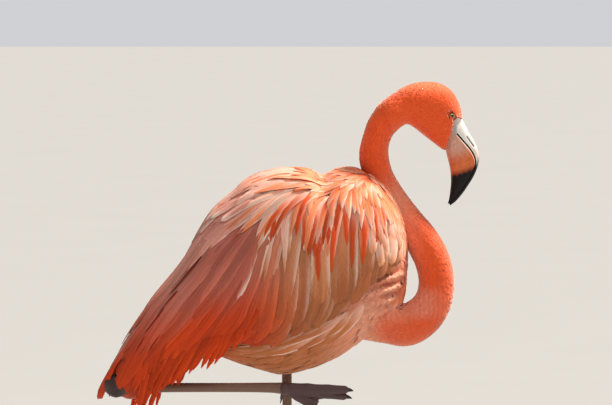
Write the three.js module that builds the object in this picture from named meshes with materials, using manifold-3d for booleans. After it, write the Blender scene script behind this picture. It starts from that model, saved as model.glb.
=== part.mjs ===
// A Caribbean flamingo at life size, standing on its left leg with the right leg folded back,
// the neck in an S and the head hanging from it. Millimetres. +X is the bird's heading, +Y its
// left, +Z up. The origin is on the floor, at the middle of the pad of the foot it stands on.
import * as THREE from 'three';
import { mergeVertices } from 'three/addons/utils/BufferGeometryUtils.js';
import Module from 'manifold-3d';

const wasm = await Module();
wasm.setup();

// ---------------------------------------------------------------- driving dimensions
const GAP = 0.4; // clear space between neighbouring pieces

// The trunk runs along X. Its outlines are quarter superellipses that meet at its two ends.
const TRUNK = {
  front: 176,
  frontLevel: 620, // height of the foremost point of the breast
  rear: -175,
  rearLevel: 545, // height of the rump's end
  backHeight: 770,
  backFrom: 85, // the back is level between these two places
  backTo: -15,
  saddle: { at: 49, depth: 12, breadth: 17 }, // dip between the mantle and the hump behind it
  keelHeight: 459, // lowest point of the belly
  keelAt: -15,
  rearRise: 36, // how far the belly has risen one rearReach behind its lowest point
  rearReach: 112,
  halfWidth: 84,
  widestAt: 40,
  widestShare: 0.45, // share of a section's depth, from its top, where it is widest
  fullness: 2.3, // power of the section's superellipse, 2 being an ellipse
  stations: 22,
  sides: 24,
};

// The folded wings lie over the trunk's sides, and their long inner feathers go on behind it.
const WING = {
  shoulder: 160, // foremost place of the wing's bend
  joint: -104, // where the coverts end and the long tertial feathers start
  tip: -289,
  lift: 13, // thickness of the folded wing at the body's side
  shoulderLift: 6,
  thinnest: 3, // thickness of the long feathers' sheet
  freeBehind: -90, // behind this place the wings have outlines of their own
  hangsBehind: -70, // behind this place they hang lower than the belly
  clearance: 1.5, // from the trunk to the wing's inner face
  rows: 10,
};

const NECK = {
  // hand-laid centre line, from inside the breast to the nape: x, y, z and radius
  line: [
    [104, 0, 549, 36],
    [128, 0, 542, 34],
    [150, 0, 536.5, 32],
    [174, 0, 532.5, 31.5],
    [197, 0, 545, 31],
    [214, 0, 567, 28.5],
    [220, 0, 597, 27],
    [214, 1, 630, 27],
    [198, 4, 661, 26],
    [176, 8, 694, 21.5],
    [153, 10, 726, 20.5],
    [134, 10, 756, 22],
    [126, 8, 786, 22.5],
    [129, 4, 812, 21],
    [138, 1, 835, 21],
    [152, 0, 852, 22],
  ],
  cuts: [0, 0.24, 0.42, 0.61, 0.8, 1], // shares of the line where one length ends and the next starts
  ringsPerLength: 7,
  sides: 14,
  crown: 0.94, // width of the neck as a share of its depth
};

const HEAD = {
  yaw: 13, // degrees that the head is turned to the bird's left
  pivot: [152, 0, 852],
  power: 2.1,
  sides: 22,
  eye: { at: [238, 848], radius: 6.2, across: 17.9 },
  // sections from nape to bill: crown x, z, throat x, z, half width, and where it is widest
  sections: [
    [139, 862, 156, 830, 17, 0.5],
    [149, 876, 166, 835, 21, 0.5],
    [164, 888, 175, 836, 23.5, 0.46],
    [182, 896, 186, 830, 26, 0.42],
    [203, 899, 200, 819, 27.5, 0.4],
    [226, 896, 214, 808, 27, 0.38],
    [243, 884, 224, 800, 25, 0.38],
    [253, 867, 230, 796, 22.5, 0.42],
    [257.5, 852, 233, 794, 20, 0.45],
    [257.5, 842, 234.5, 793.5, 18.5, 0.5],
  ],
};

// Stations of the bill from its base to its tip: culmen, mouth line and lower edge, each as
// x and z, then half the width of the upper and of the lower bill.
const BILL = {
  base: 0.6, // how far the first station stands off the head's front face
  power: 2.4,
  sides: 16,
  stations: [
    [258.5, 841, 247.5, 821, 235.5, 792.5, 16.5, 17.5],
    [268, 822, 257.5, 810, 238, 782, 15.5, 17.5],
    [277, 807, 267, 799, 240.5, 772, 14.5, 17.5],
    [282, 793.5, 273.5, 789, 242, 762, 13.5, 17],
    [283.4, 781, 276.5, 779.5, 242.7, 752, 12.5, 16],
    [280.7, 768, 274.5, 768, 242.5, 744, 11.5, 14.5],
    [275.4, 755, 269.5, 756.5, 241.8, 736.5, 10, 12.5],
    [267.5, 742, 262, 744, 241, 730, 8.5, 10],
    [259, 729.5, 253.5, 732, 240, 724, 7, 7.5],
    [249, 718, 245, 721.5, 238.8, 718.5, 5, 4.5],
    [241, 712, 240, 715, 237.5, 715, 2.5, 2.5],
  ],
};

const TAIL = {
  root: [-166, 545],
  tip: [-257, 484],
  rootHalfWidth: 19,
  tipHalfWidth: 21,
  thickness: 6,
};

const LEG = {
  // centre line of the leg it stands on, from the belly down: x, y, z, half depth, half width
  standingShank: [
    [-5, 30, 505, 9, 8],
    [-5, 27, 455, 7.5, 6.5],
    [-4, 19, 360, 6.8, 5.8],
    [-4, 14, 312, 7.5, 6.5],
    [-4, 12.8, 296, 10.5, 9.5],
  ],
  standingTarsus: [
    [-4, 12.6, 295.3, 10.6, 9.6],
    [-4, 12.2, 284, 15.5, 12.5],
    [-4, 11.8, 270, 16.5, 13.5],
    [-3.5, 11.2, 256, 13, 11.5],
    [-3, 10.5, 238, 8.5, 8],
    [-2, 7.5, 150, 7, 6],
    [-1, 3.5, 60, 7.2, 6.2],
    [0, 1, 24, 8.8, 8.6],
    [0, 0, 13, 9.5, 10],
  ],
  raisedShank: [
    [-92, -30, 509, 10, 9],
    [-130, -28, 494.5, 8.5, 7.5],
    [-180, -25, 476, 7, 6.2],
    [-222, -23, 461.5, 7.8, 7],
    [-236, -22, 456.8, 9.5, 8.8],
  ],
  raisedTarsus: [
    [-278, -21, 444.5, 8.5, 7.5],
    [-272, -21, 444.5, 14, 11],
    [-261, -21, 444, 18, 13],
    [-249, -21, 443, 14.5, 11],
    [-238, -21, 442, 9.5, 8.2],
    [-200, -21, 441.3, 7.5, 6.6],
    [-100, -23, 441.5, 6.9, 5.9],
    [-30, -25, 441.5, 7.6, 6.6],
    [-12, -26, 440.5, 9, 8.6],
  ],
  sides: 14,
};

const FOOT = {
  padRadius: 13,
  padHeight: 13,
  toes: [
    { angle: 0, length: 80 },
    { angle: 37, length: 68 },
    { angle: -37, length: 63 },
    { angle: 176, length: 20 },
  ],
  toeHeight: 9,
  toeHalfWidth: 5.2,
  tipShare: 0.55, // a toe's size at its tip, as a share of its size at the pad
  hindToeShare: 0.62, // size of the hind toe beside the others
  webHeight: 3,
  webShare: 0.86, // how far out along the toes the web reaches
  webDip: 0.3, // how far its front edge is drawn in between two toes
  clawLength: 9,
  clawHalfWidth: 2.2,
};

const RAISED_FOOT = {
  at: [-8, -26, 440.5],
  // the toes hang folded together: end point x, y, z, half height and half width at the root
  toes: [
    [88, -31, 439, 9, 5.6],
    [86, -23.5, 427.5, 8.6, 5.4],
    [47, -20, 403, 6.6, 4.8],
    [-13, -17, 423, 3.8, 3.4],
  ],
  webHalfWidth: 1.8,
  webShare: 0.8,
};

// The long drooping plumes carry on from the wing's lower edge. Each row is x, how far it hangs
// below that edge, its half breadth, and how far out it stands from where it starts.
const PLUMES = {
  rows: [
    [-222, 1, 18, 0],
    [-227, 18, 20, 3],
    [-233, 40, 17, 4],
    [-238, 56, 12, 3],
    [-242, 66, 5, 1],
  ],
  thickness: 4,
};

// ---------------------------------------------------------------- shapes from numbers
const lerp = THREE.MathUtils.lerp;
const radians = THREE.MathUtils.degToRad;
const point = (x, y, z) => new THREE.Vector3(x, y, z);
const ACROSS = point(0, 1, 0);

// Height of a quarter superellipse of reach 1 and height 1 at distance u from its middle.
function quarter(u, power) {
  return Math.pow(Math.max(0, 1 - Math.pow(Math.min(1, Math.max(0, u)), power)), 1 / power);
}

// A smooth function through [place, value] pairs listed from the lowest place to the highest.
function through(pairs) {
  const slopes = pairs.map((p, i) => {
    const before = pairs[Math.max(0, i - 1)];
    const after = pairs[Math.min(pairs.length - 1, i + 1)];
    return (after[1] - before[1]) / (after[0] - before[0]);
  });
  return (place) => {
    const x = Math.min(Math.max(place, pairs[0][0]), pairs[pairs.length - 1][0]);
    let i = 0;
    while (i < pairs.length - 2 && x > pairs[i + 1][0]) i += 1;
    const width = pairs[i + 1][0] - pairs[i][0];
    const t = (x - pairs[i][0]) / width;
    const rise = pairs[i + 1][1] - pairs[i][1];
    const a = slopes[i] * width - rise;
    const b = rise - slopes[i + 1] * width;
    return pairs[i][1] + rise * t + t * (1 - t) * (a * (1 - t) + b * t);
  };
}

const signedPower = (v, p) => Math.sign(v) * Math.pow(Math.abs(v), p);

// The point at an angle from the top of an oval that hangs between a top and a bottom point.
function ovalPoint(top, bottom, side, halfWidth, angle, { widest = 0.5, power = 2 } = {}) {
  const middle = top.clone().lerp(bottom, widest);
  const c = signedPower(Math.cos(angle), 2 / power);
  const s = signedPower(Math.sin(angle), 2 / power);
  const reach = (c >= 0 ? top : bottom).clone().sub(middle).multiplyScalar(Math.abs(c));
  return middle.add(reach).addScaledVector(side, s * halfWidth);
}

// The whole oval as a ring of points.
function ovalRing(top, bottom, side, halfWidth, count, shape) {
  return Array.from({ length: count }, (_, i) =>
    ovalPoint(top, bottom, side, halfWidth, ((i + 0.5) * 2 * Math.PI) / count, shape));
}

// A geometry from triangles of points, merged, and turned so that its faces point outwards.
function closedGeometry(triangles) {
  const six = triangles.reduce((sum, [a, b, c]) => sum + a.dot(b.clone().cross(c)), 0);
  const outward = six < 0 ? triangles.map(([a, b, c]) => [a, c, b]) : triangles;
  const positions = outward.flatMap((t) => t.flatMap((p) => [p.x, p.y, p.z]));
  const geometry = new THREE.BufferGeometry();
  geometry.setAttribute('position', new THREE.Float32BufferAttribute(positions, 3));
  return geometry;
}

// A solid carried through rings of equal count, with a fan over each end.
function loft(rings) {
  const triangles = [];
  for (let i = 0; i + 1 < rings.length; i += 1) {
    const [near, far] = [rings[i], rings[i + 1]];
    for (let j = 0; j < near.length; j += 1) {
      const k = (j + 1) % near.length;
      triangles.push([near[j], near[k], far[k]], [near[j], far[k], far[j]]);
    }
  }
  for (const [ring, last] of [[rings[0], false], [rings[rings.length - 1], true]]) {
    const middle = ring.reduce((sum, p) => sum.add(p), point(0, 0, 0)).divideScalar(ring.length);
    for (let j = 0; j < ring.length; j += 1) {
      const k = (j + 1) % ring.length;
      triangles.push(last ? [ring[j], ring[k], middle] : [ring[k], ring[j], middle]);
    }
  }
  return closedGeometry(triangles);
}

// A thick sheet between two grids of points that face each other, closed round its edges.
function slab(outer, inner) {
  const triangles = [];
  const quad = (a, b, c, d) => triangles.push([a, b, c], [a, c, d]);
  const [rows, columns] = [outer.length, outer[0].length];
  for (let i = 0; i + 1 < rows; i += 1) {
    for (let j = 0; j + 1 < columns; j += 1) {
      quad(outer[i][j], outer[i + 1][j], outer[i + 1][j + 1], outer[i][j + 1]);
      quad(inner[i][j], inner[i][j + 1], inner[i + 1][j + 1], inner[i + 1][j]);
    }
    quad(outer[i + 1][0], outer[i][0], inner[i][0], inner[i + 1][0]);
    const m = columns - 1;
    quad(outer[i][m], outer[i + 1][m], inner[i + 1][m], inner[i][m]);
  }
  for (let j = 0; j + 1 < columns; j += 1) {
    quad(outer[0][j], outer[0][j + 1], inner[0][j + 1], inner[0][j]);
    const m = rows - 1;
    quad(outer[m][j + 1], outer[m][j], inner[m][j], inner[m][j + 1]);
  }
  return closedGeometry(triangles);
}

// Sections across a path in an upright plane: each station is x, y, z, half depth, half width.
function limb(stations, sides, shape) {
  const centres = stations.map(([x, y, z]) => point(x, y, z));
  return loft(stations.map(([, , , depth, width], i) => {
    const ahead = centres[Math.min(i + 1, centres.length - 1)];
    const along = ahead.clone().sub(centres[Math.max(i - 1, 0)]).normalize();
    const up = along.clone().cross(ACROSS).normalize();
    const side = up.clone().cross(along).normalize();
    const top = centres[i].clone().addScaledVector(up, depth);
    const bottom = centres[i].clone().addScaledVector(up, -depth);
    return ovalRing(top, bottom, side, width, sides, shape);
  }));
}

// ---------------------------------------------------------------- joining and cutting
function toSolid(geometry) {
  const merged = mergeVertices(geometry, 1e-4);
  return new wasm.Manifold(new wasm.Mesh({
    numProp: 3,
    vertProperties: merged.attributes.position.array,
    triVerts: new Uint32Array(merged.index.array),
  }));
}

function toGeometry(solid) {
  const { vertProperties, triVerts } = solid.getMesh();
  const geometry = new THREE.BufferGeometry();
  geometry.setAttribute('position', new THREE.BufferAttribute(vertProperties, 3));
  geometry.setIndex(new THREE.BufferAttribute(triVerts, 1));
  return geometry;
}

function joined(...geometries) {
  return toGeometry(geometries.map(toSolid).reduce((all, one) => all.add(one)));
}

function cut(geometry, ...cutters) {
  return toGeometry(cutters.map(toSolid).reduce((all, one) => all.subtract(one), toSolid(geometry)));
}

// ---------------------------------------------------------------- the trunk's outlines
function saddle(x) {
  const { at, depth, breadth } = TRUNK.saddle;
  return depth * Math.exp(-(((x - at) / breadth) ** 2));
}

function trunkTop(x) {
  if (x > TRUNK.backFrom) {
    const u = (x - TRUNK.backFrom) / (TRUNK.front - TRUNK.backFrom);
    return lerp(TRUNK.frontLevel, TRUNK.backHeight, quarter(u, 2.3)) - saddle(x);
  }
  const u = (TRUNK.backTo - x) / (TRUNK.backTo - TRUNK.rear);
  return lerp(TRUNK.rearLevel, TRUNK.backHeight, quarter(u, 1.5)) - saddle(x);
}

function trunkBottom(x) {
  if (x > TRUNK.keelAt) {
    const u = (x - TRUNK.keelAt) / (TRUNK.front - TRUNK.keelAt);
    return lerp(TRUNK.frontLevel, TRUNK.keelHeight, quarter(u, 1.7));
  }
  const rise = Math.pow((TRUNK.keelAt - x) / TRUNK.rearReach, 1.3);
  return Math.min(TRUNK.keelHeight + TRUNK.rearRise * rise, TRUNK.rearLevel - 0.5);
}

function trunkHalfWidth(x) {
  const ahead = x > TRUNK.widestAt;
  const reach = ahead ? TRUNK.front - TRUNK.widestAt : TRUNK.widestAt - TRUNK.rear;
  return TRUNK.halfWidth * quarter(Math.abs(x - TRUNK.widestAt) / reach, ahead ? 2.4 : 1.8);
}

const BODY_SHAPE = { widest: TRUNK.widestShare, power: TRUNK.fullness };

function trunkSolid(grow) {
  const middle = (TRUNK.front + TRUNK.rear) / 2;
  const reach = (TRUNK.front - TRUNK.rear) / 2;
  const rings = [];
  for (let i = 0; i < TRUNK.stations; i += 1) {
    const u = ((i + 0.35) / (TRUNK.stations - 0.3)) * 2 - 1;
    const x = middle + reach * Math.sin((u * Math.PI) / 2);
    const top = point(x, 0, trunkTop(x) + grow);
    const bottom = point(x, 0, trunkBottom(x) - grow);
    rings.push(ovalRing(top, bottom, ACROSS, trunkHalfWidth(x) + grow, TRUNK.sides, BODY_SHAPE));
  }
  for (const [ring, way] of [[rings[0], -1], [rings[rings.length - 1], 1]]) {
    ring.forEach((p) => p.setX(p.x + way * grow));
  }
  return loft(rings);
}

// ---------------------------------------------------------------- the wings' outlines
const wingBack = through([
  [-290, 441], [-255, 499], [-210, 568], [-165, 628], [-120, 703], [-85, 736], [-60, 757],
  [TRUNK.backTo, TRUNK.backHeight],
]);
const wingUnder = through([
  [-290, 424], [-262, 425], [-235, 420], [-200, 424], [-150, 449], [-110, 474],
  [WING.hangsBehind, trunkBottom(WING.hangsBehind)],
]);
const wingBreadth = through([
  [-290, 14], [-250, 38], [-200, 53], [-150, 65],
  [WING.freeBehind, trunkHalfWidth(WING.freeBehind) + WING.lift],
]);
const wingLift = through([
  [WING.freeBehind, WING.lift], [60, WING.lift], [120, WING.lift - 1],
  [WING.shoulder, WING.shoulderLift],
]);
// the wing's lower edge, as a height at each place along the body
const wingEdge = through([
  [-290, 437], [-283, 447], [-276, 461], [-264, 466], [-252, 465], [-236, 452], [-207, 443],
  [-181, 456], [-150, 470], [-122, 497], [-80, 508], [-48, 515], [-10, 526], [40, 551],
  [92, 587], [146, 638], [WING.shoulder, 652],
]);
// how far down from the mid-line of the back the wing starts, in degrees
const wingStart = through([
  [-290, 2.5], [WING.joint, 3], [-60, 10], [0, 22], [60, 30], [120, 42], [WING.shoulder, 58],
]);

function wingSection(x) {
  return {
    top: x < TRUNK.backTo ? wingBack(x) : trunkTop(x),
    bottom: x < WING.hangsBehind ? wingUnder(x) : trunkBottom(x),
    halfWidth: x < WING.freeBehind ? wingBreadth(x) : trunkHalfWidth(x) + wingLift(x),
  };
}

// Angle from the top at which a wing section comes down to a height.
function angleAtHeight({ top, bottom }, height) {
  const middle = lerp(top, bottom, TRUNK.widestShare);
  const share = height > middle
    ? (height - middle) / (top - middle)
    : (height - middle) / (middle - bottom);
  const clamped = Math.max(-0.995, Math.min(0.995, share));
  return Math.acos(signedPower(clamped, TRUNK.fullness / 2));
}

// The section of the wing's inner face: clear of the trunk where there is one inside it.
function wingInside(x, { top, bottom, halfWidth }) {
  if (x < TRUNK.rear) {
    return { top: top - WING.thinnest, bottom, halfWidth: halfWidth - WING.thinnest };
  }
  return {
    top: Math.max(top - WING.thinnest, trunkTop(x) + WING.clearance),
    bottom: Math.min(bottom + WING.thinnest, trunkBottom(x) - WING.clearance),
    halfWidth: Math.max(trunkHalfWidth(x) + WING.clearance, halfWidth - WING.lift),
  };
}

// The wing between two places along the body, on the left for side 1 and on the right for -1.
function wingPart(side, from, to, columns) {
  const outer = [];
  const inner = [];
  for (let i = 0; i < columns; i += 1) {
    const x = lerp(from, to, i / (columns - 1));
    const section = wingSection(x);
    const start = radians(wingStart(x));
    const end = angleAtHeight(section, wingEdge(x));
    for (const [face, { top, bottom, halfWidth }] of [[outer, section],
      [inner, wingInside(x, section)]]) {
      face.push(Array.from({ length: WING.rows }, (_, j) =>
        ovalPoint(point(x, 0, top), point(x, 0, bottom), ACROSS, side * halfWidth,
          lerp(start, end, j / (WING.rows - 1)), BODY_SHAPE)));
    }
  }
  return cut(slab(outer, inner), trunkSolid(GAP));
}

// ---------------------------------------------------------------- neck and head
const neckCurve = new THREE.CatmullRomCurve3(
  NECK.line.map(([x, y, z]) => point(x, y, z)), false, 'centripetal');

const neckRadius = (() => {
  const lengths = neckCurve.getLengths(400);
  const total = lengths[400];
  const last = NECK.line.length - 1;
  return through(NECK.line.map(([, , , radius], i) =>
    [lengths[Math.round((i / last) * 400)] / total, radius]));
})();

// The neck between two shares of its length, with its surface moved out by grow.
function neckLength(from, to, grow, rings) {
  const total = neckCurve.getLength();
  const trim = GAP / 2 / total;
  const start = from > 0 ? from + trim : from;
  const end = to < 1 ? to - trim : to;
  return loft(Array.from({ length: rings }, (_, i) => {
    const share = lerp(start, end, i / (rings - 1));
    const along = neckCurve.getTangentAt(share);
    const centre = neckCurve.getPointAt(share).addScaledVector(along, i === rings - 1 ? grow : 0);
    const up = along.clone().cross(ACROSS).normalize();
    const side = up.clone().cross(along).normalize();
    const radius = neckRadius(share) + grow;
    const top = centre.clone().addScaledVector(up, radius);
    const bottom = centre.clone().addScaledVector(up, -radius);
    return ovalRing(top, bottom, side, radius * NECK.crown, NECK.sides);
  }));
}

// Pieces of the head are drawn in its own upright plane, with the pivot as their origin.
// The head is turned, so its length is drawn out to keep its reach along the body.
const HEAD_STRETCH = 1 / Math.cos(radians(HEAD.yaw));
const inHead = (x, y, z) =>
  point((x - HEAD.pivot[0]) * HEAD_STRETCH, y, z - HEAD.pivot[2]);

function eyeSolid(side, grow) {
  const [x, z] = HEAD.eye.at;
  const ball = new THREE.SphereGeometry(HEAD.eye.radius + grow, 10, 8);
  ball.deleteAttribute('normal');
  ball.deleteAttribute('uv');
  const centre = inHead(x, side * HEAD.eye.across, z);
  return ball.translate(centre.x, centre.y, centre.z);
}

function headSolid(neckEnd) {
  const rings = HEAD.sections.map(([tx, tz, bx, bz, width, widest]) =>
    ovalRing(inHead(tx, 0, tz), inHead(bx, 0, bz), ACROSS, width, HEAD.sides,
      { widest, power: HEAD.power }));
  return cut(loft(rings), neckEnd, eyeSolid(1, GAP), eyeSolid(-1, GAP));
}

function upperBillSolid() {
  return loft(BILL.stations.map(([cx, cz, mx, mz, , , width]) =>
    ovalRing(inHead(cx + BILL.base, 0, cz), inHead(mx + BILL.base, 0, mz), ACROSS, width,
      BILL.sides, { widest: 0.82, power: BILL.power })));
}

function lowerBillSolid() {
  return loft(BILL.stations.map(([, , mx, mz, lx, lz, , width]) => {
    const mouth = inHead(mx + BILL.base, 0, mz);
    const lower = inHead(lx + BILL.base, 0, lz);
    mouth.addScaledVector(lower.clone().sub(mouth).normalize(), GAP * 2);
    return ovalRing(mouth, lower, ACROSS, width, BILL.sides, { widest: 0.2, power: BILL.power });
  }));
}

// ---------------------------------------------------------------- legs and feet
// An arch with a flat underside at height 0, drawn across a direction on the floor.
function arch(centre, side, halfWidth, height, count) {
  return Array.from({ length: count }, (_, i) => {
    const angle = (Math.PI * i) / (count - 1);
    return centre.clone()
      .addScaledVector(side, halfWidth * Math.cos(angle))
      .add(point(0, 0, height * Math.sin(angle)));
  });
}

function toeOnFloor({ angle, length }, size) {
  const along = point(Math.cos(radians(angle)), Math.sin(radians(angle)), 0);
  const side = point(-along.y, along.x, 0);
  const shares = [0, 0.3, 0.36, 0.62, 0.68, 0.94, 1];
  const swells = [1, 1, 1.12, 0.92, 1.05, 0.85, 0.6]; // joints stand out from the toe
  return loft(shares.map((share, i) => {
    const taper = lerp(1, FOOT.tipShare, share) * swells[i] * size;
    const centre = along.clone().multiplyScalar(length * share);
    return arch(centre, side, FOOT.toeHalfWidth * taper, FOOT.toeHeight * taper, 7);
  }));
}

function clawOnFloor({ angle, length }, size) {
  const along = point(Math.cos(radians(angle)), Math.sin(radians(angle)), 0);
  const side = point(-along.y, along.x, 0);
  return loft([0, 0.5, 1].map((share) => {
    const taper = (1 - 0.8 * share) * size;
    const centre = along.clone().multiplyScalar(length + GAP + FOOT.clawLength * size * share);
    return arch(centre, side, FOOT.clawHalfWidth * taper, FOOT.clawHalfWidth * 1.6 * taper, 7);
  }));
}

// The web: a thin plate from toe to toe, with its front edge drawn in between them.
function webOnFloor() {
  const rim = [];
  const [middle, left, right] = FOOT.toes;
  for (const [a, b] of [[right, middle], [middle, left]]) {
    for (let i = 0; i <= 6; i += 1) {
      const t = i / 6;
      const angle = radians(lerp(a.angle, b.angle, t));
      const dip = 1 - FOOT.webDip * Math.sin(Math.PI * t);
      const reach = lerp(a.length, b.length, t) * FOOT.webShare * dip;
      if (i > 0 || rim.length === 0) rim.push(new THREE.Vector2(reach * Math.cos(angle),
        reach * Math.sin(angle)));
    }
  }
  rim.push(new THREE.Vector2(0, 0));
  const plate = new THREE.ExtrudeGeometry(new THREE.Shape(rim),
    { depth: FOOT.webHeight, bevelEnabled: false });
  plate.deleteAttribute('normal');
  plate.deleteAttribute('uv');
  return plate;
}

function padOnFloor() {
  const profile = [new THREE.Vector2(0, 0), new THREE.Vector2(FOOT.padRadius, 0)];
  for (let i = 1; i <= 4; i += 1) {
    const angle = radians(i * 22.5);
    profile.push(new THREE.Vector2(
      i === 4 ? 0 : FOOT.padRadius * Math.cos(angle), (FOOT.padHeight - 0.5) * Math.sin(angle)));
  }
  const pad = new THREE.LatheGeometry(profile, 16);
  pad.deleteAttribute('normal');
  pad.deleteAttribute('uv');
  return pad.rotateX(Math.PI / 2);
}

function toeSize(index) {
  return index === 3 ? FOOT.hindToeShare : 1;
}

function standingFoot() {
  return joined(padOnFloor(), webOnFloor(), ...FOOT.toes.map((toe, i) => toeOnFloor(toe, toeSize(i))));
}

// A toe of the raised foot, from the foot's joint to its end point.
function raisedToe([x, y, z, depth, width]) {
  const start = point(...RAISED_FOOT.at);
  const end = point(x, y, z);
  const stations = [0, 0.3, 0.36, 0.64, 0.7, 0.94, 1].map((share, i) => {
    const swell = [1, 0.95, 1.06, 0.88, 1, 0.85, 0.6][i] * lerp(1, 0.66, share);
    const centre = start.clone().lerp(end, share);
    return [centre.x, centre.y, centre.z, depth * swell, width * swell];
  });
  return limb(stations, 8);
}

function raisedClaw([x, y, z, depth, width]) {
  const start = point(...RAISED_FOOT.at);
  const end = point(x, y, z);
  const along = end.clone().sub(start).normalize();
  const stations = [0, 0.5, 1].map((share) => {
    const centre = end.clone().addScaledVector(along, GAP + FOOT.clawLength * share * depth / 7);
    const taper = 1 - 0.78 * share;
    return [centre.x, centre.y, centre.z - 1.5 * share, depth * 0.36 * taper, width * 0.42 * taper];
  });
  return limb(stations, 8);
}

// The web of the raised foot hangs folded between two of its toes, as a thin plate.
function raisedWeb(first, second) {
  const root = point(...RAISED_FOOT.at);
  const ends = [first, second].map(([x, y, z]) => root.clone().lerp(point(x, y, z),
    RAISED_FOOT.webShare));
  const shift = point(0, RAISED_FOOT.webHalfWidth, 0);
  const dip = ends[0].clone().lerp(ends[1], 0.5).lerp(root, 0.25);
  const edge = [root, ends[0], dip, ends[1]];
  const near = edge.map((p) => p.clone().sub(shift));
  const far = edge.map((p) => p.clone().add(shift));
  const triangles = [[near[0], near[1], near[2]], [near[0], near[2], near[3]],
    [far[0], far[2], far[1]], [far[0], far[3], far[2]]];
  for (let i = 0; i < 4; i += 1) {
    const k = (i + 1) % 4;
    triangles.push([near[i], far[i], far[k]], [near[i], far[k], near[k]]);
  }
  return closedGeometry(triangles);
}

function raisedFoot() {
  const pad = new THREE.SphereGeometry(10, 10, 6);
  pad.deleteAttribute('normal');
  pad.deleteAttribute('uv');
  pad.translate(...RAISED_FOOT.at);
  const [upper, lower, third] = RAISED_FOOT.toes;
  const whole = joined(pad, raisedWeb(upper, lower), raisedWeb(lower, third),
    ...RAISED_FOOT.toes.map(raisedToe));
  return cut(whole, limb(grown(LEG.raisedTarsus, GAP), LEG.sides));
}

// The same stations with their sections moved out, and the two ends drawn out as far.
function grown(stations, grow) {
  const wider = stations.map(([x, y, z, depth, width]) => [x, y, z, depth + grow, width + grow]);
  for (const [end, next] of [[0, 1], [wider.length - 1, wider.length - 2]]) {
    const from = point(...wider[next].slice(0, 3));
    const at = point(...wider[end].slice(0, 3));
    at.addScaledVector(at.clone().sub(from).normalize(), grow);
    wider[end].splice(0, 3, at.x, at.y, at.z);
  }
  return wider;
}

// ---------------------------------------------------------------- tail and plumes
function tailSolid() {
  const rings = [0, 0.35, 0.7, 1].map((share) => {
    const x = lerp(TAIL.root[0], TAIL.tip[0], share);
    const z = lerp(TAIL.root[1], TAIL.tip[1], share);
    const halfWidth = lerp(TAIL.rootHalfWidth, TAIL.tipHalfWidth, share);
    const half = lerp(TAIL.thickness, TAIL.thickness / 2, share) / 2;
    return ovalRing(point(x, 0, z + half), point(x, 0, z - half), ACROSS, halfWidth, 14);
  });
  return cut(loft(rings), trunkSolid(GAP));
}

function plumesSolid(side) {
  const faces = [0, PLUMES.thickness].map((depth) =>
    PLUMES.rows.map(([middle, hang, halfBreadth, out]) =>
      [-1, -0.5, 0, 0.5, 1].map((share) => {
        const root = PLUMES.rows[0][0] + share * PLUMES.rows[0][2];
        const { top, bottom, halfWidth } = wingSection(root);
        const edge = wingEdge(root);
        const start = ovalPoint(point(0, 0, top), point(0, 0, bottom), ACROSS, halfWidth,
          angleAtHeight({ top, bottom }, edge), BODY_SHAPE);
        return point(middle + share * halfBreadth, side * (start.y + out - depth), edge - hang);
      })));
  return slab(faces[0], faces[1]);
}

// ---------------------------------------------------------------- materials
function material(name, color, roughness) {
  return new THREE.MeshStandardMaterial({ name, color, roughness, metalness: 0 });
}
const CORAL = material('coral feathers', 0xe25a30, 0.8);
const SALMON = material('salmon coverts', 0xe89a78, 0.8);
const ROSE = material('deep rose plumes', 0xbe4c26, 0.8);
const HORN = material('pale horn', 0xe6ddd2, 0.4);
const DARK_HORN = material('black horn', 0x2a2220, 0.35);
const IRIS = material('straw iris', 0xe8d890, 0.15);
const SCALES = material('grey-brown leg scales', 0x6e5048, 0.6);
const FOOT_SKIN = material('dark web skin', 0x4b3237, 0.6);

// ---------------------------------------------------------------- the flamingo
const flamingo = new THREE.Group();
const headGroup = new THREE.Group();
headGroup.position.set(...HEAD.pivot);
headGroup.rotation.z = radians(HEAD.yaw);
flamingo.add(headGroup);

function add(name, geometry, look, group = flamingo) {
  const mesh = new THREE.Mesh(geometry, look);
  mesh.name = name;
  group.add(mesh);
}

const freeRings = NECK.ringsPerLength * (NECK.cuts.length - 2) + 2;
const neckBesideTrunk = neckLength(NECK.cuts[1], 1, GAP, freeRings);
add('trunk', cut(trunkSolid(0), neckBesideTrunk), CORAL);

for (let i = 0; i + 1 < NECK.cuts.length; i += 1) {
  const length = neckLength(NECK.cuts[i], NECK.cuts[i + 1], 0, NECK.ringsPerLength);
  add(`neck_${i + 1}`, i === 0 ? cut(length, trunkSolid(GAP)) : length, CORAL);
}

headGroup.updateMatrix();
const neckEnd = neckLength(NECK.cuts[4], 1, GAP, NECK.ringsPerLength)
  .applyMatrix4(headGroup.matrix.clone().invert());
add('head', headSolid(neckEnd), CORAL, headGroup);
add('upper_bill', upperBillSolid(), DARK_HORN, headGroup);
add('lower_bill', lowerBillSolid(), HORN, headGroup);

for (const [name, side] of [['left', 1], ['right', -1]]) {
  add(`eye_${name}`, eyeSolid(side, 0), IRIS, headGroup);
  add(`wing_${name}`, wingPart(side, WING.shoulder, WING.joint + GAP, 15), SALMON);
  add(`tertials_${name}`, wingPart(side, WING.joint, WING.tip, 14), ROSE);
  add(`plumes_${name}`, plumesSolid(side), ROSE);
}
add('tail', tailSolid(), ROSE);

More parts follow.
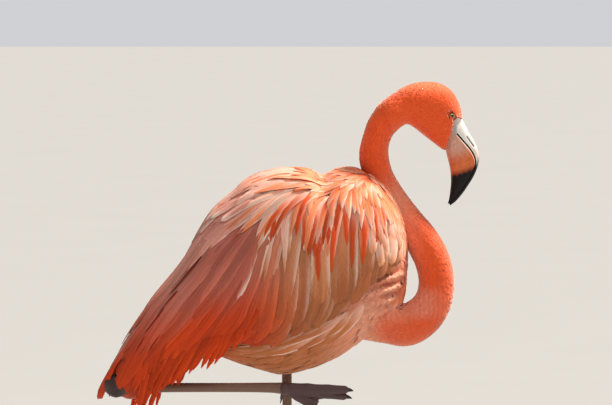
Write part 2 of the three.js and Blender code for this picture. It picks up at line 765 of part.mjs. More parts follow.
add('shank_left', cut(limb(LEG.standingShank, LEG.sides), trunkSolid(GAP)), SCALES);
add('tarsus_left', limb(LEG.standingTarsus, LEG.sides), SCALES);
add('foot_left', standingFoot(), FOOT_SKIN);
add('shank_right', cut(limb(LEG.raisedShank, LEG.sides), trunkSolid(GAP),
  limb(grown(LEG.raisedTarsus, GAP), LEG.sides)), SCALES);
add('tarsus_right', limb(LEG.raisedTarsus, LEG.sides), SCALES);
add('foot_right', raisedFoot(), FOOT_SKIN);
FOOT.toes.forEach((toe, i) => add(`claw_left_${i + 1}`, clawOnFloor(toe, toeSize(i)), DARK_HORN));
RAISED_FOOT.toes.forEach((toe, i) => add(`claw_right_${i + 1}`, raisedClaw(toe), DARK_HORN));

export default flamingo;
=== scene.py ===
"""A life-size Caribbean flamingo: one skin under a coat laid vane by vane, with bill, eyes, legs and feet.

Shapes are worked out in millimetres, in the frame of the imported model, and put into meshes in
metres. +X is the bird's heading, +Y its left and +Z up.
"""
import math

import bpy
import numpy as np
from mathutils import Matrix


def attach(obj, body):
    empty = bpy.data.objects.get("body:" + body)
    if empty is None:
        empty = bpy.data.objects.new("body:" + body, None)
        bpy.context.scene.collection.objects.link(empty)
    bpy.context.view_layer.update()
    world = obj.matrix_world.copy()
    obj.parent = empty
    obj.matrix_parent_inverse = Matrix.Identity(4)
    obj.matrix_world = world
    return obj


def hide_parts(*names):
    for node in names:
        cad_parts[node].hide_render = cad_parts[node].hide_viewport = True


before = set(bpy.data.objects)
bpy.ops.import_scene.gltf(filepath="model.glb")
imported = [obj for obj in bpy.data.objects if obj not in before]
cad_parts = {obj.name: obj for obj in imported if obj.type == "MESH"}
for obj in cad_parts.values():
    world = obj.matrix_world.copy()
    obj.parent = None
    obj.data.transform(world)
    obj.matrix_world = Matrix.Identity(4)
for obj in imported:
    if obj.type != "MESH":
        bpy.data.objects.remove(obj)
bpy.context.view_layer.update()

bl_info = {
    "name": "Caribbean flamingo",
    "version": (1, 0, 0),
    "blender": (4, 5, 0),
    "location": "3D View > Sidebar > Flamingo",
    "description": "Builds a life-size flamingo with a coat of separate feathers",
    "category": "Object",
}

MM = 0.001
TINY = 1e-9
STEP = 1e-4  # parameter step for slopes
LEFT, RIGHT = 1, -1

# -------- the body's driving dimensions
TRUNK_FRONT, TRUNK_REAR = 176, -175
TRUNK_MIDDLE = (TRUNK_FRONT + TRUNK_REAR) / 2
TRUNK_REACH = (TRUNK_FRONT - TRUNK_REAR) / 2
FRONT_LEVEL, REAR_LEVEL, BACK_HEIGHT = 620, 545, 770
BACK_FROM, BACK_TO = 85, -15
SADDLE_AT, SADDLE_DEPTH, SADDLE_BREADTH = 49, 12, 17
KEEL_HEIGHT, KEEL_AT, REAR_RISE, REAR_REACH = 459, -15, 36, 112
HALF_WIDTH, WIDEST_AT, WIDEST_SHARE, FULLNESS = 84, 40, 0.45, 2.3

WING_SHOULDER, WING_TIP = 160, -289
WING_FREE, WING_HANGS = -90, -70

NECK_LINE = (
    (104, 0, 549, 36), (128, 0, 542, 34), (150, 0, 536.5, 32), (174, 0, 532.5, 31.5),
    (197, 0, 545, 31), (214, 0, 567, 28.5), (220, 0, 597, 27), (214, 1, 630, 27),
    (198, 4, 661, 26), (176, 8, 694, 21.5), (153, 10, 726, 20.5), (134, 10, 756, 22),
    (126, 8, 786, 22.5), (129, 4, 812, 21), (138, 1, 835, 21), (152, 0, 852, 22),
)
NECK_WIDTH = 0.94  # width of the neck as a share of its depth

HEAD_YAW = math.radians(13)
HEAD_PIVOT = np.array((152.0, 0.0, 852.0))
HEAD_STRETCH = 1 / math.cos(HEAD_YAW)
HEAD_POWER = 2.1
EYE_AT, EYE_RADIUS, EYE_ACROSS = (238, 848), 6.2, 17.9
HEAD_SECTIONS = (
    (139, 862, 156, 830, 17, 0.5), (149, 876, 166, 835, 21, 0.5), (164, 888, 175, 836, 23.5, 0.46),
    (182, 896, 186, 830, 26, 0.42), (203, 899, 200, 819, 27.5, 0.4), (226, 896, 214, 808, 27, 0.38),
    (243, 884, 224, 800, 25, 0.38), (253, 867, 230, 796, 22.5, 0.42),
    (257.5, 852, 233, 794, 20, 0.45), (257.5, 842, 234.5, 793.5, 18.5, 0.5),
)

# culmen x, z, mouth line x, z, lower edge x, z, then the half widths of upper and lower bill
BILL_STATIONS = (
    (258.5, 841, 247.5, 821, 235.5, 792.5, 16.5, 17.5), (268, 822, 257.5, 810, 238, 782, 15.5, 17.5),
    (277, 807, 267, 799, 240.5, 772, 14.5, 17.5), (282, 793.5, 273.5, 789, 242, 762, 13.5, 17),
    (283.4, 781, 276.5, 779.5, 242.7, 752, 12.5, 16), (280.7, 768, 274.5, 768, 242.5, 744, 11.5, 14.5),
    (275.4, 755, 269.5, 756.5, 241.8, 736.5, 10, 12.5), (267.5, 742, 262, 744, 241, 730, 8.5, 10),
    (259, 729.5, 253.5, 732, 240, 724, 7, 7.5), (249, 718, 245, 721.5, 238.8, 718.5, 5, 4.5),
    (241, 712, 240, 715, 237.5, 715, 2.5, 2.5),
)
BILL_POWER = 2.4
MOUTH_GAP = 0.8

# centre line of each leg: x, y, z, half depth, half width
STANDING_LEG = (
    (-5, 30, 505, 9, 8), (-5, 27, 455, 7.5, 6.5), (-4, 19, 360, 6.8, 5.8), (-4, 14, 312, 7.5, 6.5),
    (-4, 12.8, 296, 10.5, 9.5), (-4, 12.2, 284, 15.5, 12.5), (-4, 11.8, 270, 16.5, 13.5),
    (-3.5, 11.2, 256, 13, 11.5), (-3, 10.5, 238, 8.5, 8), (-2, 7.5, 150, 7, 6),
    (-1, 3.5, 60, 7.2, 6.2), (0, 1, 24, 8.8, 8.6), (0, 0, 9, 9.5, 10),
)
RAISED_SHANK = (
    (-92, -30, 509, 10, 9), (-130, -28, 494.5, 8.5, 7.5), (-180, -25, 476, 7, 6.2),
    (-222, -23, 461.5, 7.8, 7), (-240, -22, 455, 10.5, 9.5), (-252, -21.5, 449, 11, 10),
)
RAISED_TARSUS = (
    (-278, -21, 444.5, 8.5, 7.5), (-272, -21, 444.5, 14, 11), (-261, -21, 444, 18, 13),
    (-249, -21, 443, 14.5, 11), (-238, -21, 442, 9.5, 8.2), (-200, -21, 441.3, 7.5, 6.6),
    (-100, -23, 441.5, 6.9, 5.9), (-30, -25, 441.5, 7.6, 6.6), (-8, -26, 440.5, 9, 8.6),
)
TOES = ((0, 80, 1), (37, 68, 1), (-37, 63, 1), (176, 20, 0.62))  # angle, length, size
TOE_HEIGHT, TOE_HALF_WIDTH, TOE_TIP = 9, 5.2, 0.55
WEB_SHARE, WEB_DIP, WEB_HEIGHT = 0.86, 0.3, 2.6
PAD_RADIUS, PAD_HEIGHT = 13, 12.5
RAISED_FOOT_AT = (-8, -26, 440.5)
RAISED_TOES = (
    (88, -31, 439, 9, 5.6), (86, -23.5, 427.5, 8.6, 5.4), (47, -20, 403, 6.6, 4.8),
    (-13, -17, 423, 3.8, 3.4),
)
CLAW_LENGTH, CLAW_HALF_WIDTH, CLAW_SINK = 9, 2.2, 1.5


# -------- numbers and vectors
def unit(v):
    """Each vector over its own length."""
    return v / np.maximum(np.linalg.norm(v, axis=-1, keepdims=True), TINY)


def dot(a, b):
    """Scalar product along the last axis."""
    return np.einsum("...i,...i->...", a, b)


def lerp(a, b, t):
    """a at t = 0 and b at t = 1."""
    return a + (b - a) * t


def smooth(low, high, x):
    """0 below low and 1 above high, with the cubic 3t^2 - 2t^3 between."""
    t = np.clip((x - low) / (high - low), 0, 1)
    return t * t * (3 - 2 * t)


def bell(x, middle, breadth):
    """exp of minus the square of the distance from the middle in breadths."""
    return np.exp(-(((x - middle) / breadth) ** 2))


def stacked(x, y, z):
    """Points from three coordinates of one shape."""
    return np.stack(np.broadcast_arrays(x, y, z), -1)


def quarter(u, power):
    """Height of a quarter superellipse, (1 - u^power)^(1/power), at u from 0 to 1."""
    return np.power(np.maximum(0, 1 - np.clip(u, 0, 1) ** power), 1 / power)


def signed_power(v, power):
    """The power of the size of v, with the sign of v."""
    return np.sign(v) * np.abs(v) ** power


def circle(count):
    """Angles evenly spaced round a circle."""
    return np.arange(count) * 2 * math.pi / count


def crossed(a, b):
    """Two grids of numbers: a down the rows and b across the columns."""
    return np.meshgrid(a, b, indexing="ij")


def through(pairs):
    """A cubic Hermite curve through [place, value] pairs, straight beyond its two ends.

    The slope at a place is the rise between its neighbours over the way between them."""
    place, value = np.array(pairs, float).T
    slope = np.gradient(value, edge_order=1) / np.gradient(place, edge_order=1)

    def curve(x):
        held = np.clip(x, place[0], place[-1])
        i = np.clip(np.searchsorted(place, held) - 1, 0, len(place) - 2)
        width = place[i + 1] - place[i]
        t = (held - place[i]) / width
        rise = value[i + 1] - value[i]
        a = slope[i] * width - rise
        b = rise - slope[i + 1] * width
        inside = value[i] + rise * t + t * (1 - t) * (a * (1 - t) + b * t)
        return inside + (x - held) * np.where(x < place[0], slope[0], slope[-1])

    return curve


def oval(angle, widest, power):
    """Shares of an oval's depth and half width at an angle from its top.

    The depth share goes from 0 at the top to 1 at the bottom. cos and sin of the angle are
    taken to the power 2 / power, and the upper and lower parts meet at the widest share."""
    c = signed_power(np.cos(angle), 2 / power)
    s = signed_power(np.sin(angle), 2 / power)
    share = widest - c * np.where(c >= 0, widest, 1 - widest)
    return share, s


def oval_angle(z, top, bottom):
    """Angle from the top at which an upright body section comes down to the height z."""
    middle = lerp(top, bottom, WIDEST_SHARE)
    share = np.where(z > middle, (z - middle) / (top - middle), (z - middle) / (middle - bottom))
    return np.arccos(signed_power(np.clip(share, -0.999, 0.999), FULLNESS / 2))


def body_oval(x, top, bottom, half_width, angle):
    """A point of an upright body section at x, at an angle from its top, left side positive."""
    share, s = oval(angle, WIDEST_SHARE, FULLNESS)
    return stacked(x, half_width * s, lerp(top, bottom, share))


# -------- the trunk
def saddle(x):
    """The dip in the back between the mantle and the hump behind it."""
    return SADDLE_DEPTH * bell(x, SADDLE_AT, SADDLE_BREADTH)


def trunk_top(x):
    """The back line: level in the middle, with a quarter superellipse down to each end."""
    ahead = quarter((x - BACK_FROM) / (TRUNK_FRONT - BACK_FROM), 2.3)
    behind = quarter((BACK_TO - x) / (BACK_TO - TRUNK_REAR), 1.5)
    front = lerp(FRONT_LEVEL, BACK_HEIGHT, ahead)
    rear = lerp(REAR_LEVEL, BACK_HEIGHT, behind)
    return np.where(x > BACK_FROM, front, rear) - saddle(x)


def trunk_bottom(x):
    """The belly line: a quarter superellipse ahead of the keel and a power curve behind it."""
    ahead = quarter((x - KEEL_AT) / (TRUNK_FRONT - KEEL_AT), 1.7)
    front = lerp(FRONT_LEVEL, KEEL_HEIGHT, ahead)
    rise = np.maximum(0, (KEEL_AT - x) / REAR_REACH) ** 1.3
    rear = np.minimum(KEEL_HEIGHT + REAR_RISE * rise, REAR_LEVEL - 0.5)
    return np.where(x > KEEL_AT, front, rear)


def trunk_half_width(x):
    """Quarter superellipses ahead of and behind the widest place."""
    ahead = HALF_WIDTH * quarter((x - WIDEST_AT) / (TRUNK_FRONT - WIDEST_AT), 2.4)
    behind = HALF_WIDTH * quarter((WIDEST_AT - x) / (WIDEST_AT - TRUNK_REAR), 1.8)
    return np.where(x > WIDEST_AT, ahead, behind)


def trunk_at(t):
    """Place along the body at t from 0, the rump's end, to 1, the breast, slow at both ends."""
    return TRUNK_MIDDLE + TRUNK_REACH * np.sin((2 * t - 1) * math.pi / 2)


def trunk_surface(t, a):
    """The trunk: t runs from the rump to the breast and a round it from the mid-line above."""
    x = trunk_at(t)
    return body_oval(x, trunk_top(x), trunk_bottom(x), trunk_half_width(x), a)


def in_trunk(p, grow=0.0):
    """True for points inside the trunk grown by some millimetres."""
    x, y, z = p[..., 0], p[..., 1], p[..., 2]
    top, bottom = trunk_top(x) + grow, trunk_bottom(x) - grow
    middle = lerp(top, bottom, WIDEST_SHARE)
    up = np.where(z > middle, (z - middle) / np.maximum(top - middle, TINY),
                  (middle - z) / np.maximum(middle - bottom, TINY))
    across = np.abs(y) / np.maximum(trunk_half_width(x) + grow, TINY)
    between = (x < TRUNK_FRONT + grow) & (x > TRUNK_REAR - grow)
    return between & (np.clip(up, 0, 9) ** FULLNESS + np.clip(across, 0, 9) ** FULLNESS < 1)


# -------- the folded wings
wing_back = through((
    (-290, 441), (-255, 499), (-210, 568), (-165, 628), (-120, 703), (-85, 736), (-60, 757),
    (BACK_TO, BACK_HEIGHT)))
wing_under = through((
    (-290, 424), (-262, 425), (-235, 420), (-200, 424), (-150, 449), (-110, 474),
    (WING_HANGS, float(trunk_bottom(WING_HANGS)))))
wing_breadth = through((
    (-290, 14), (-250, 38), (-200, 53), (-150, 65),
    (WING_FREE, float(trunk_half_width(WING_FREE)) + 13)))
wing_lift = through(((WING_FREE, 13), (60, 13), (120, 12), (WING_SHOULDER, 6)))
wing_edge = through((
    (-290, 437), (-283, 447), (-276, 461), (-264, 466), (-252, 465), (-236, 452), (-207, 443),
    (-181, 456), (-150, 470), (-122, 497), (-80, 508), (-48, 515), (-10, 526), (40, 551),
    (92, 587), (146, 638), (WING_SHOULDER, 652)))


def back_line(x):
    """Height of the mid-line above: the folded wings' behind, the trunk's ahead."""
    return np.where(x < BACK_TO, wing_back(x), trunk_top(x))


def wing_section(x):
    """Top, bottom and half width of the section of the two folded wings at x."""
    top = back_line(x)
    bottom = np.where(x < WING_HANGS, wing_under(x), trunk_bottom(x))
    lifted = trunk_half_width(x) + wing_lift(x)
    return top, bottom, np.where(x < WING_FREE, wing_breadth(x), lifted)


def angle_at(x, z):
    """Angle from the mid-line above at which the wing's section comes down to the height z."""
    top, bottom, _ = wing_section(x)
    return oval_angle(z, top, bottom)


def wing_surface(p, a):
    """The wings' outer face: p is the place along the body in 100 mm, a the angle from above."""
    x = 100 * np.asarray(p)
    top, bottom, half_width = wing_section(x)
    return body_oval(x, top, bottom, half_width, a)


def wing_share(x, z):
    """0 at the back's line and 1 at the wing's lower edge."""
    top = back_line(x)
    return np.clip((top - z) / np.maximum(top - wing_edge(x), 1), 0, 1)


FOLD_AT, FOLD_HEIGHT, FOLD_PITCH, FOLD_SLOPE = (148, 592), 6.2, 17, 0.16


def breast_folds(x, z):
    """Height of the soft folds that cross the side of the breast."""
    where = bell(x, 146, 26) * bell(z, 602, 38)
    up = z - FOLD_SLOPE * (x - FOLD_AT[0]) - FOLD_AT[1]
    return FOLD_HEIGHT * where * np.cos(up * 2 * math.pi / FOLD_PITCH)


def breast_surface(t, a):
    """The trunk with the folds of the breast standing out from it."""
    p = trunk_surface(t, a)
    out = unit(p - stacked(p[..., 0] - 20, 0.0, 590.0))
    return p + out * breast_folds(p[..., 0], p[..., 2])[..., None]


# -------- the neck
def catmull(points, count):
    """A centripetal Catmull-Rom curve through the points, at count even steps of its parameter.

    Between two points it is the cubic whose end slopes come from the neighbours' distances."""
    p = np.vstack((2 * points[0] - points[1], points, 2 * points[-1] - points[-2]))
    u = np.linspace(0, len(points) - 1, count)
    i = np.minimum(u.astype(int), len(points) - 2)
    w = (u - i)[:, None]
    p0, p1, p2, p3 = p[i], p[i + 1], p[i + 2], p[i + 3]
    d0, d1, d2 = (np.linalg.norm(b - a, axis=1, keepdims=True) ** 0.5
                  for a, b in ((p0, p1), (p1, p2), (p2, p3)))
    m1 = ((p1 - p0) / d0 - (p2 - p0) / (d0 + d1) + (p2 - p1) / d1) * d1
    m2 = ((p2 - p1) / d1 - (p3 - p1) / (d1 + d2) + (p3 - p2) / d2) * d1
    c2 = -3 * p1 + 3 * p2 - 2 * m1 - m2
    c3 = 2 * p1 - 2 * p2 + m1 + m2
    return p1 + m1 * w + c2 * w ** 2 + c3 * w ** 3


def way_along(points):
    """How far each point of a line lies from its start, along it."""
    return np.concatenate(((0,), np.cumsum(np.linalg.norm(np.diff(points, axis=0), axis=1))))


def neck_curves():
    """Centre coordinates and radius of the neck as curves of the share of its length."""
    line = np.array(NECK_LINE, float)
    steps = 100 * (len(line) - 1)
    dense = catmull(line[:, :3], steps + 1)
    way = way_along(dense)
    share = way / way[-1]
    even = np.linspace(0, 1, 61)
    centre = [through(list(zip(even, np.interp(even, share, dense[:, k])))) for k in range(3)]
    radius = through(list(zip(share[::100], line[:, 3])))
    return centre, radius


NECK_CENTRE, neck_radius = neck_curves()


def tube_point(centre, radius_up, radius_side, s, a):
    """A point round a curve in space, at an angle from its upper side.

    The upper side is the curve's heading crossed with the bird's left."""
    here = np.stack([c(s) for c in centre], -1)
    along = unit(np.stack([c(s + STEP) - c(s - STEP) for c in centre], -1))
    up = unit(np.cross(along, (0.0, 1.0, 0.0)))
    side = np.cross(up, along)
    return (here + up * (radius_up * np.cos(a))[..., None]
            + side * (radius_side * np.sin(a))[..., None])


def neck_surface(s, a):
    """The neck: s runs from inside the breast to the nape and a round it."""
    s, a = np.broadcast_arrays(np.asarray(s, float), a)
    radius = neck_radius(s)
    return tube_point(NECK_CENTRE, radius, radius * NECK_WIDTH, s, a)


NECK_SAMPLES = np.stack([c(np.linspace(0, 1, 240)) for c in NECK_CENTRE], -1)
NECK_RADII = neck_radius(np.linspace(0, 1, 240))


def in_neck(p, grow=0.0):
    """True for points that are within the neck's radius of its centre line."""
    flat = p.reshape(-1, 3)
    inside = np.zeros(len(flat), bool)
    for centre, radius in zip(NECK_SAMPLES, NECK_RADII):
        inside |= ((flat - centre) ** 2).sum(1) < (radius + grow) ** 2
    return inside.reshape(p.shape[:-1])


# -------- the head and the bill
def from_head(x, y, z):
    """Body coordinates of a point that is given in the head's own upright plane."""
    forward = (np.asarray(x) - HEAD_PIVOT[0]) * HEAD_STRETCH
    c, s = math.cos(HEAD_YAW), math.sin(HEAD_YAW)
    return stacked(HEAD_PIVOT[0] + c * forward - s * y, HEAD_PIVOT[1] + s * forward + c * y, z)


def to_head(p):
    """A point's coordinates in the head's own upright plane."""
    c, s = math.cos(HEAD_YAW), math.sin(HEAD_YAW)
    x, y = p[..., 0] - HEAD_PIVOT[0], p[..., 1] - HEAD_PIVOT[1]
    return stacked(HEAD_PIVOT[0] + (c * x + s * y) / HEAD_STRETCH, c * y - s * x, p[..., 2])


def column_curves(rows):
    """One curve through each column of a table of stations, over 0 to 1."""
    table = np.array(rows, float)
    place = np.linspace(0, 1, len(table))
    return [through(list(zip(place, column))) for column in table.T]


HEAD_CURVES = column_curves(HEAD_SECTIONS)
BILL_CURVES = column_curves(BILL_STATIONS)


def slanted_oval(top_x, top_z, low_x, low_z, half_width, widest, power, a):
    """A point of an oval hung between two points of the head's plane."""
    share, s = oval(a, widest, power)
    return from_head(lerp(top_x, low_x, share), half_width * s, lerp(top_z, low_z, share))


def head_surface(t, a):
    """The head: t runs from the nape to the bill and a round it from the crown."""
    tx, tz, bx, bz, half_width, widest = (c(t) for c in HEAD_CURVES)
    return slanted_oval(tx, tz, bx, bz, half_width, widest, HEAD_POWER, a)


SLICE_REACH = 4  # how far from a section of the head, along it, a point still counts as in it


def head_slices(flat, shares):
    """For sections of the head: how far points lie below each one's widest line and off its
    plane, the section's depths above and below that line, and its half width."""
    for t in shares:
        tx, tz, bx, bz, half_width, widest = (float(c(t)) for c in HEAD_CURVES)
        way = np.array((bx - tx, bz - tz))
        depth = np.linalg.norm(way)
        way = way / depth
        relative = flat[:, (0, 2)] - (tx, tz)
        above = widest * depth
        off = np.abs(relative @ (way[1], -way[0]))
        yield relative @ way - above, off, above, depth - above, half_width


def in_head(p, grow=0.0):
    """True for points inside the head grown by some millimetres."""
    flat = to_head(p.reshape(-1, 3))
    inside = np.zeros(len(flat), bool)
    for down, off, above, below, half_width in head_slices(flat, np.linspace(0, 1, 40)):
        up = np.where(down < 0, -down / (above + grow), down / (below + grow))
        across = flat[:, 1] / (half_width + grow)
        inside |= (off < SLICE_REACH) & (up ** 2 + across ** 2 < 1)
    return inside.reshape(p.shape[:-1])


FAR = 99.0  # a distance past all others
FILL_REACH, FILL_MOST = 14.0, 9.0  # how wide and how high the crease of nape and neck is filled


def neck_gap(p):
    """Distance of points from the neck's surface, less than nothing inside it."""
    flat = p.reshape(-1, 3)
    gap = np.full(len(flat), FAR)
    for centre, radius in list(zip(NECK_SAMPLES, NECK_RADII))[120::2]:
        gap = np.minimum(gap, np.sqrt(((flat - centre) ** 2).sum(1)) - radius)
    return gap.reshape(p.shape[:-1])


def head_gap(p):
    """Distance of points from the head's surface, less than nothing inside it."""
    flat = to_head(p.reshape(-1, 3))
    gap = np.full(len(flat), FAR)
    for down, off, above, below, half_width in head_slices(flat, np.linspace(0, 0.5, 24)):
        up = np.where(down < 0, down / above, down / below)
        ratio = np.maximum(np.hypot(up, flat[:, 1] / half_width), TINY)
        here = np.hypot(down, flat[:, 1]) * (1 - 1 / ratio)
        past = np.maximum(off - SLICE_REACH, 0)
        here = np.where(past > 0, np.hypot(past, np.maximum(here, 0)), here)
        gap = np.minimum(gap, here)
    return gap.reshape(p.shape[:-1])


def filled(gap):
    """Height that rounds off the crease between two forms, by a point's distance to the other."""
    fill = np.maximum(FILL_REACH - np.abs(gap), 0) ** 2 / (4 * FILL_REACH)
    return np.minimum(np.maximum(-gap, 0) + fill, FILL_MOST)


# -------- frames on a surface
def frame_on(surface, a, b):
    """Point, both slopes and outward normal of a surface, the slopes by small differences."""
    p = surface(a, b)
    pa = (surface(a + STEP, b) - surface(a - STEP, b)) / (2 * STEP)
    pb = (surface(a, b + STEP) - surface(a, b - STEP)) / (2 * STEP)
    return p, pa, pb, unit(np.cross(pa, pb))


def slide(pa, pb, move):
    """Parameter changes that give a small move along a surface, by least squares."""
    aa, bb, ab = dot(pa, pa), dot(pb, pb), dot(pa, pb)
    ma, mb = dot(move, pa), dot(move, pb)
    det = np.maximum(aa * bb - ab * ab, 1e-3 * aa * bb + TINY)
    return (ma * bb - mb * ab) / det, (mb * aa - ma * ab) / det


GOLDEN = (0.7548776662466927, 0.5698402909980532)  # steps of the golden sequence in two numbers
TRIAL, NEARLY_ALL = 20000, 99.5  # trial points, and the percentile taken as their densest


def scatter(surface, a_span, b_span, spacing, seed, keep=None):
    """Roots spread evenly over a surface.

    A two-number golden sequence fills the parameters, and each point stays with a chance in
    proportion to the surface's area there over the square of the spacing there."""
    rng = np.random.default_rng(seed)

    def spread(count, start):
        n = np.arange(count)
        a = lerp(*a_span, (start[0] + GOLDEN[0] * n) % 1)
        b = lerp(*b_span, (start[1] + GOLDEN[1] * n) % 1)
        p, pa, pb, _ = frame_on(surface, a, b)
        gap = spacing(p) if callable(spacing) else spacing
        return a, b, p, np.linalg.norm(np.cross(pa, pb), axis=-1) / gap ** 2

    most = np.percentile(spread(TRIAL, (0.0, 0.0))[-1], NEARLY_ALL)
    whole = (a_span[1] - a_span[0]) * (b_span[1] - b_span[0])
    a, b, p, wanted = spread(int(most * whole), rng.random(2))
    chosen = rng.random(len(a)) < wanted / most
    if keep is not None:
        chosen &= keep(p)
    return a[chosen], b[chosen]


# -------- vanes
# Each kind says how a vane is cut: rows and columns of its face, the share of its width at the
# root, where it is widest, and the two powers that round or point its tip. Sizes are in mm.
KINDS = {
    "tuft": dict(rows=4, columns=3, base=0.6, swell=0.4, tip=(2.6, 0.8), crown=0.22, thick=0.3),
    "down": dict(rows=5, columns=3, base=0.5, swell=0.4, tip=(3, 0.7), crown=0.4, thick=0.4),
    "contour": dict(rows=7, columns=5, base=0.3, swell=0.5, tip=(5, 0.55), crown=1.6, thick=0.5),
    "covert": dict(rows=9, columns=5, base=0.3, swell=0.45, tip=(6, 0.5), crown=2.2, thick=0.6),
    "lance": dict(rows=12, columns=5, base=0.4, swell=0.4, tip=(2.6, 0.85), crown=1.6, thick=0.6),
    "quill": dict(rows=16, columns=7, base=0.3, swell=0.25, tip=(9, 0.55), crown=2.4, thick=0.7),
    "plume": dict(rows=16, columns=7, base=0.45, swell=0.3, tip=(3.5, 0.7), crown=1.6, thick=0.6),
}
NARROWEST = 0.05  # share of the width left at the very tip
PATCH = 0.003  # size of a vane's place on the baking map


def outline(v, kind):
    """Half width along a vane: a quarter sine out from the root times (1 - v^p)^q at the tip."""
    p, q = kind["tip"]
    opening = lerp(kind["base"], 1, np.sin(np.clip(v / kind["swell"], 0, 1) * math.pi / 2))
    return np.maximum(opening * np.maximum(0, 1 - v ** p) ** q, NARROWEST)


def walk(surface, a, b, heading, length, rows, keep, turn):
    """The middle lines of vanes: each walks from its root along the heading's direction there.

    The direction is laid into the surface, turned by the vane's own angle and mixed with the
    one before it by the share keep."""
    shares = np.linspace(0, 1, rows)
    steps = np.diff((shares + np.sin(shares * math.pi / 2)) / 2, prepend=0)
    line = []
    before = None
    for i in range(rows):
        p, pa, pb, n = frame_on(surface, a, b)
        want = heading(p, pa)
        flat = unit(want - n * dot(want, n)[:, None])
        flat = flat * np.cos(turn)[:, None] + np.cross(n, flat) * np.sin(turn)[:, None]
        if before is not None:
            flat = unit(lerp(flat, before, keep))
            flat = unit(flat - n * dot(flat, n)[:, None])
        before = flat
        line.append((a, b, pa, pb, n, flat))
        if i + 1 < rows:
            da, db = slide(pa, pb, flat * (length * steps[i + 1])[:, None])
            a, b = a + da, b + db
    return [np.stack(column, 1) for column in zip(*line)], np.cumsum(steps)


def lay(surface, roots, length, width, heading, kind, tones, seed, lift=(-3.0, 0.0), keep=0.5,
        turn=0.08, tilt=0.0, ragged=0.0, curl=0.0, wave=0.0, spread=0.1, settle=None):
    """Vanes laid over a surface, each a thin closed lens.

    Points stand across the middle line at the outline's half width and are lifted from lift[0]
    at the root to lift[1] at the tip, more in the middle by the crown. tilt lifts one edge,
    curl the tip, wave the middle line's height, and ragged draws the edges in at random. settle
    gives more height by place. One more line under the middle closes each vane."""
    rng = np.random.default_rng(seed)
    kind = KINDS[kind]
    a, b = roots
    n = len(a)
    length = np.broadcast_to(length, n) * lerp(1 - spread, 1 + spread, rng.random(n))
    width = np.broadcast_to(width, n) * lerp(0.9, 1.1, rng.random(n))
    rows, columns = kind["rows"], kind["columns"]
    turns = turn * (2 * rng.random(n) - 1)
    (la, lb, lpa, lpb, ln, lt), v = walk(surface, a, b, heading, length, rows, keep, turns)
    u = np.linspace(-1, 1, columns)
    half = (width[:, None] / 2) * outline(v, kind)
    edge = half[..., None] * u
    cut_in = 1 - ragged * rng.random((n, rows, columns)) * np.abs(u) * smooth(0.2, 0.7, v)[:, None]
    edge = edge * cut_in
    side = np.cross(ln, lt)
    move = edge[..., None] * side[:, :, None, :]
    da, db = slide(lpa[:, :, None, :], lpb[:, :, None, :], move)
    face = surface(la[..., None] + da, lb[..., None] + db)
    height = lerp(lift[0], lift[1], v)[None, :] + 0.35 * (rng.random((n, 1)) - 0.5) * abs(lift[0])
    height = height + curl * v ** 4 + wave * np.sin(v * 5 + 6 * rng.random((n, 1))) * v
    if settle is not None:
        height = height + settle(surface(la, lb))
    lean = tilt + 0.5 * tilt * (rng.random((n, 1)) - 0.5)
    crown = kind["crown"] * (1 - u ** 2) * (half / (width[:, None] / 2))[..., None]
    raised = height[..., None] + crown + (lean * np.sin(v * math.pi * 0.9)[None, :])[..., None] * u
    along = rng.random((n, rows, columns)) - 0.5
    along = along * ragged * (length / rows)[:, None, None] * smooth(0.6, 1, v)[:, None]
    face = face + ln[:, :, None, :] * raised[..., None] + lt[:, :, None, :] * along[..., None]
    under = face[:, :, columns // 2] - ln * kind["thick"]
    points = np.concatenate((face, under[:, :, None, :]), 2)
    across = np.concatenate((u, (0.0,)))
    tone = tones(surface(la, lb), rng)
    layer = dict(points=points, roots=np.stack((a, b), 1), random=rng.random(n), **tone)
    reach = np.linalg.norm(points - points[:, :1, columns // 2:columns // 2 + 1], axis=-1)
    whole = reach.max((1, 2)) < 1.15 * (length + width) + 6
    return dict({key: value[whole] for key, value in layer.items()}, across=across, v=v)


class Coat:
    """Layers of vanes that follow one heading over one surface."""

    def __init__(self, surface, heading):
        self.surface = surface
        self.heading = heading
        self.layers = []

    def lay(self, roots, length, width, kind, tones, seed, surface=None, **cut):
        """Adds a layer of vanes, over another surface where one is given."""
        self.layers.append(lay(surface or self.surface, roots, length, width, self.heading, kind,
                               tones, seed, **cut))


def vane_faces(rows, columns):
    """Faces of one vane: quads from row to row round it, and a fan over each end."""
    j = np.arange(columns - 1)
    low = np.stack((np.full_like(j, columns), j, j + 1), -1)
    high = low[:, ::-1] + (rows - 1) * (columns + 1)
    return grid_faces(rows, columns + 1), np.concatenate((low, high))


def to_linear(colour):
    """Linear light from 0 to 255 display values."""
    c = np.asarray(colour, float) / 255
    return np.where(c <= 0.04045, c / 12.92, ((c + 0.055) / 1.055) ** 2.4)


def vane_colours(layer):
    """Face and rim colours at a layer's points: root to middle to tip along each vane."""
    v = layer["v"][None, :, None]
    face = lerp(layer["root"], layer["base"], smooth(0.1, 0.6, v))
    face = lerp(face, layer["tip"], smooth(0.55, 1.0, v))[:, :, None, :]
    shape = layer["points"].shape[:3]
    mark = np.broadcast_to(layer["random"][:, None, None, None], shape + (1,))
    face = np.concatenate((np.broadcast_to(face, shape + (3,)), mark), -1)
    rim = np.broadcast_to(layer["rim"][:, :, None, :], shape + (3,))
    strength = np.broadcast_to(layer["strength"][:, None, None, None], shape + (1,))
    return face.reshape(-1, 4), np.concatenate((rim, strength), -1).reshape(-1, 4)


HUE_SPREAD = 0.06  # how much green and blue change from vane to vane


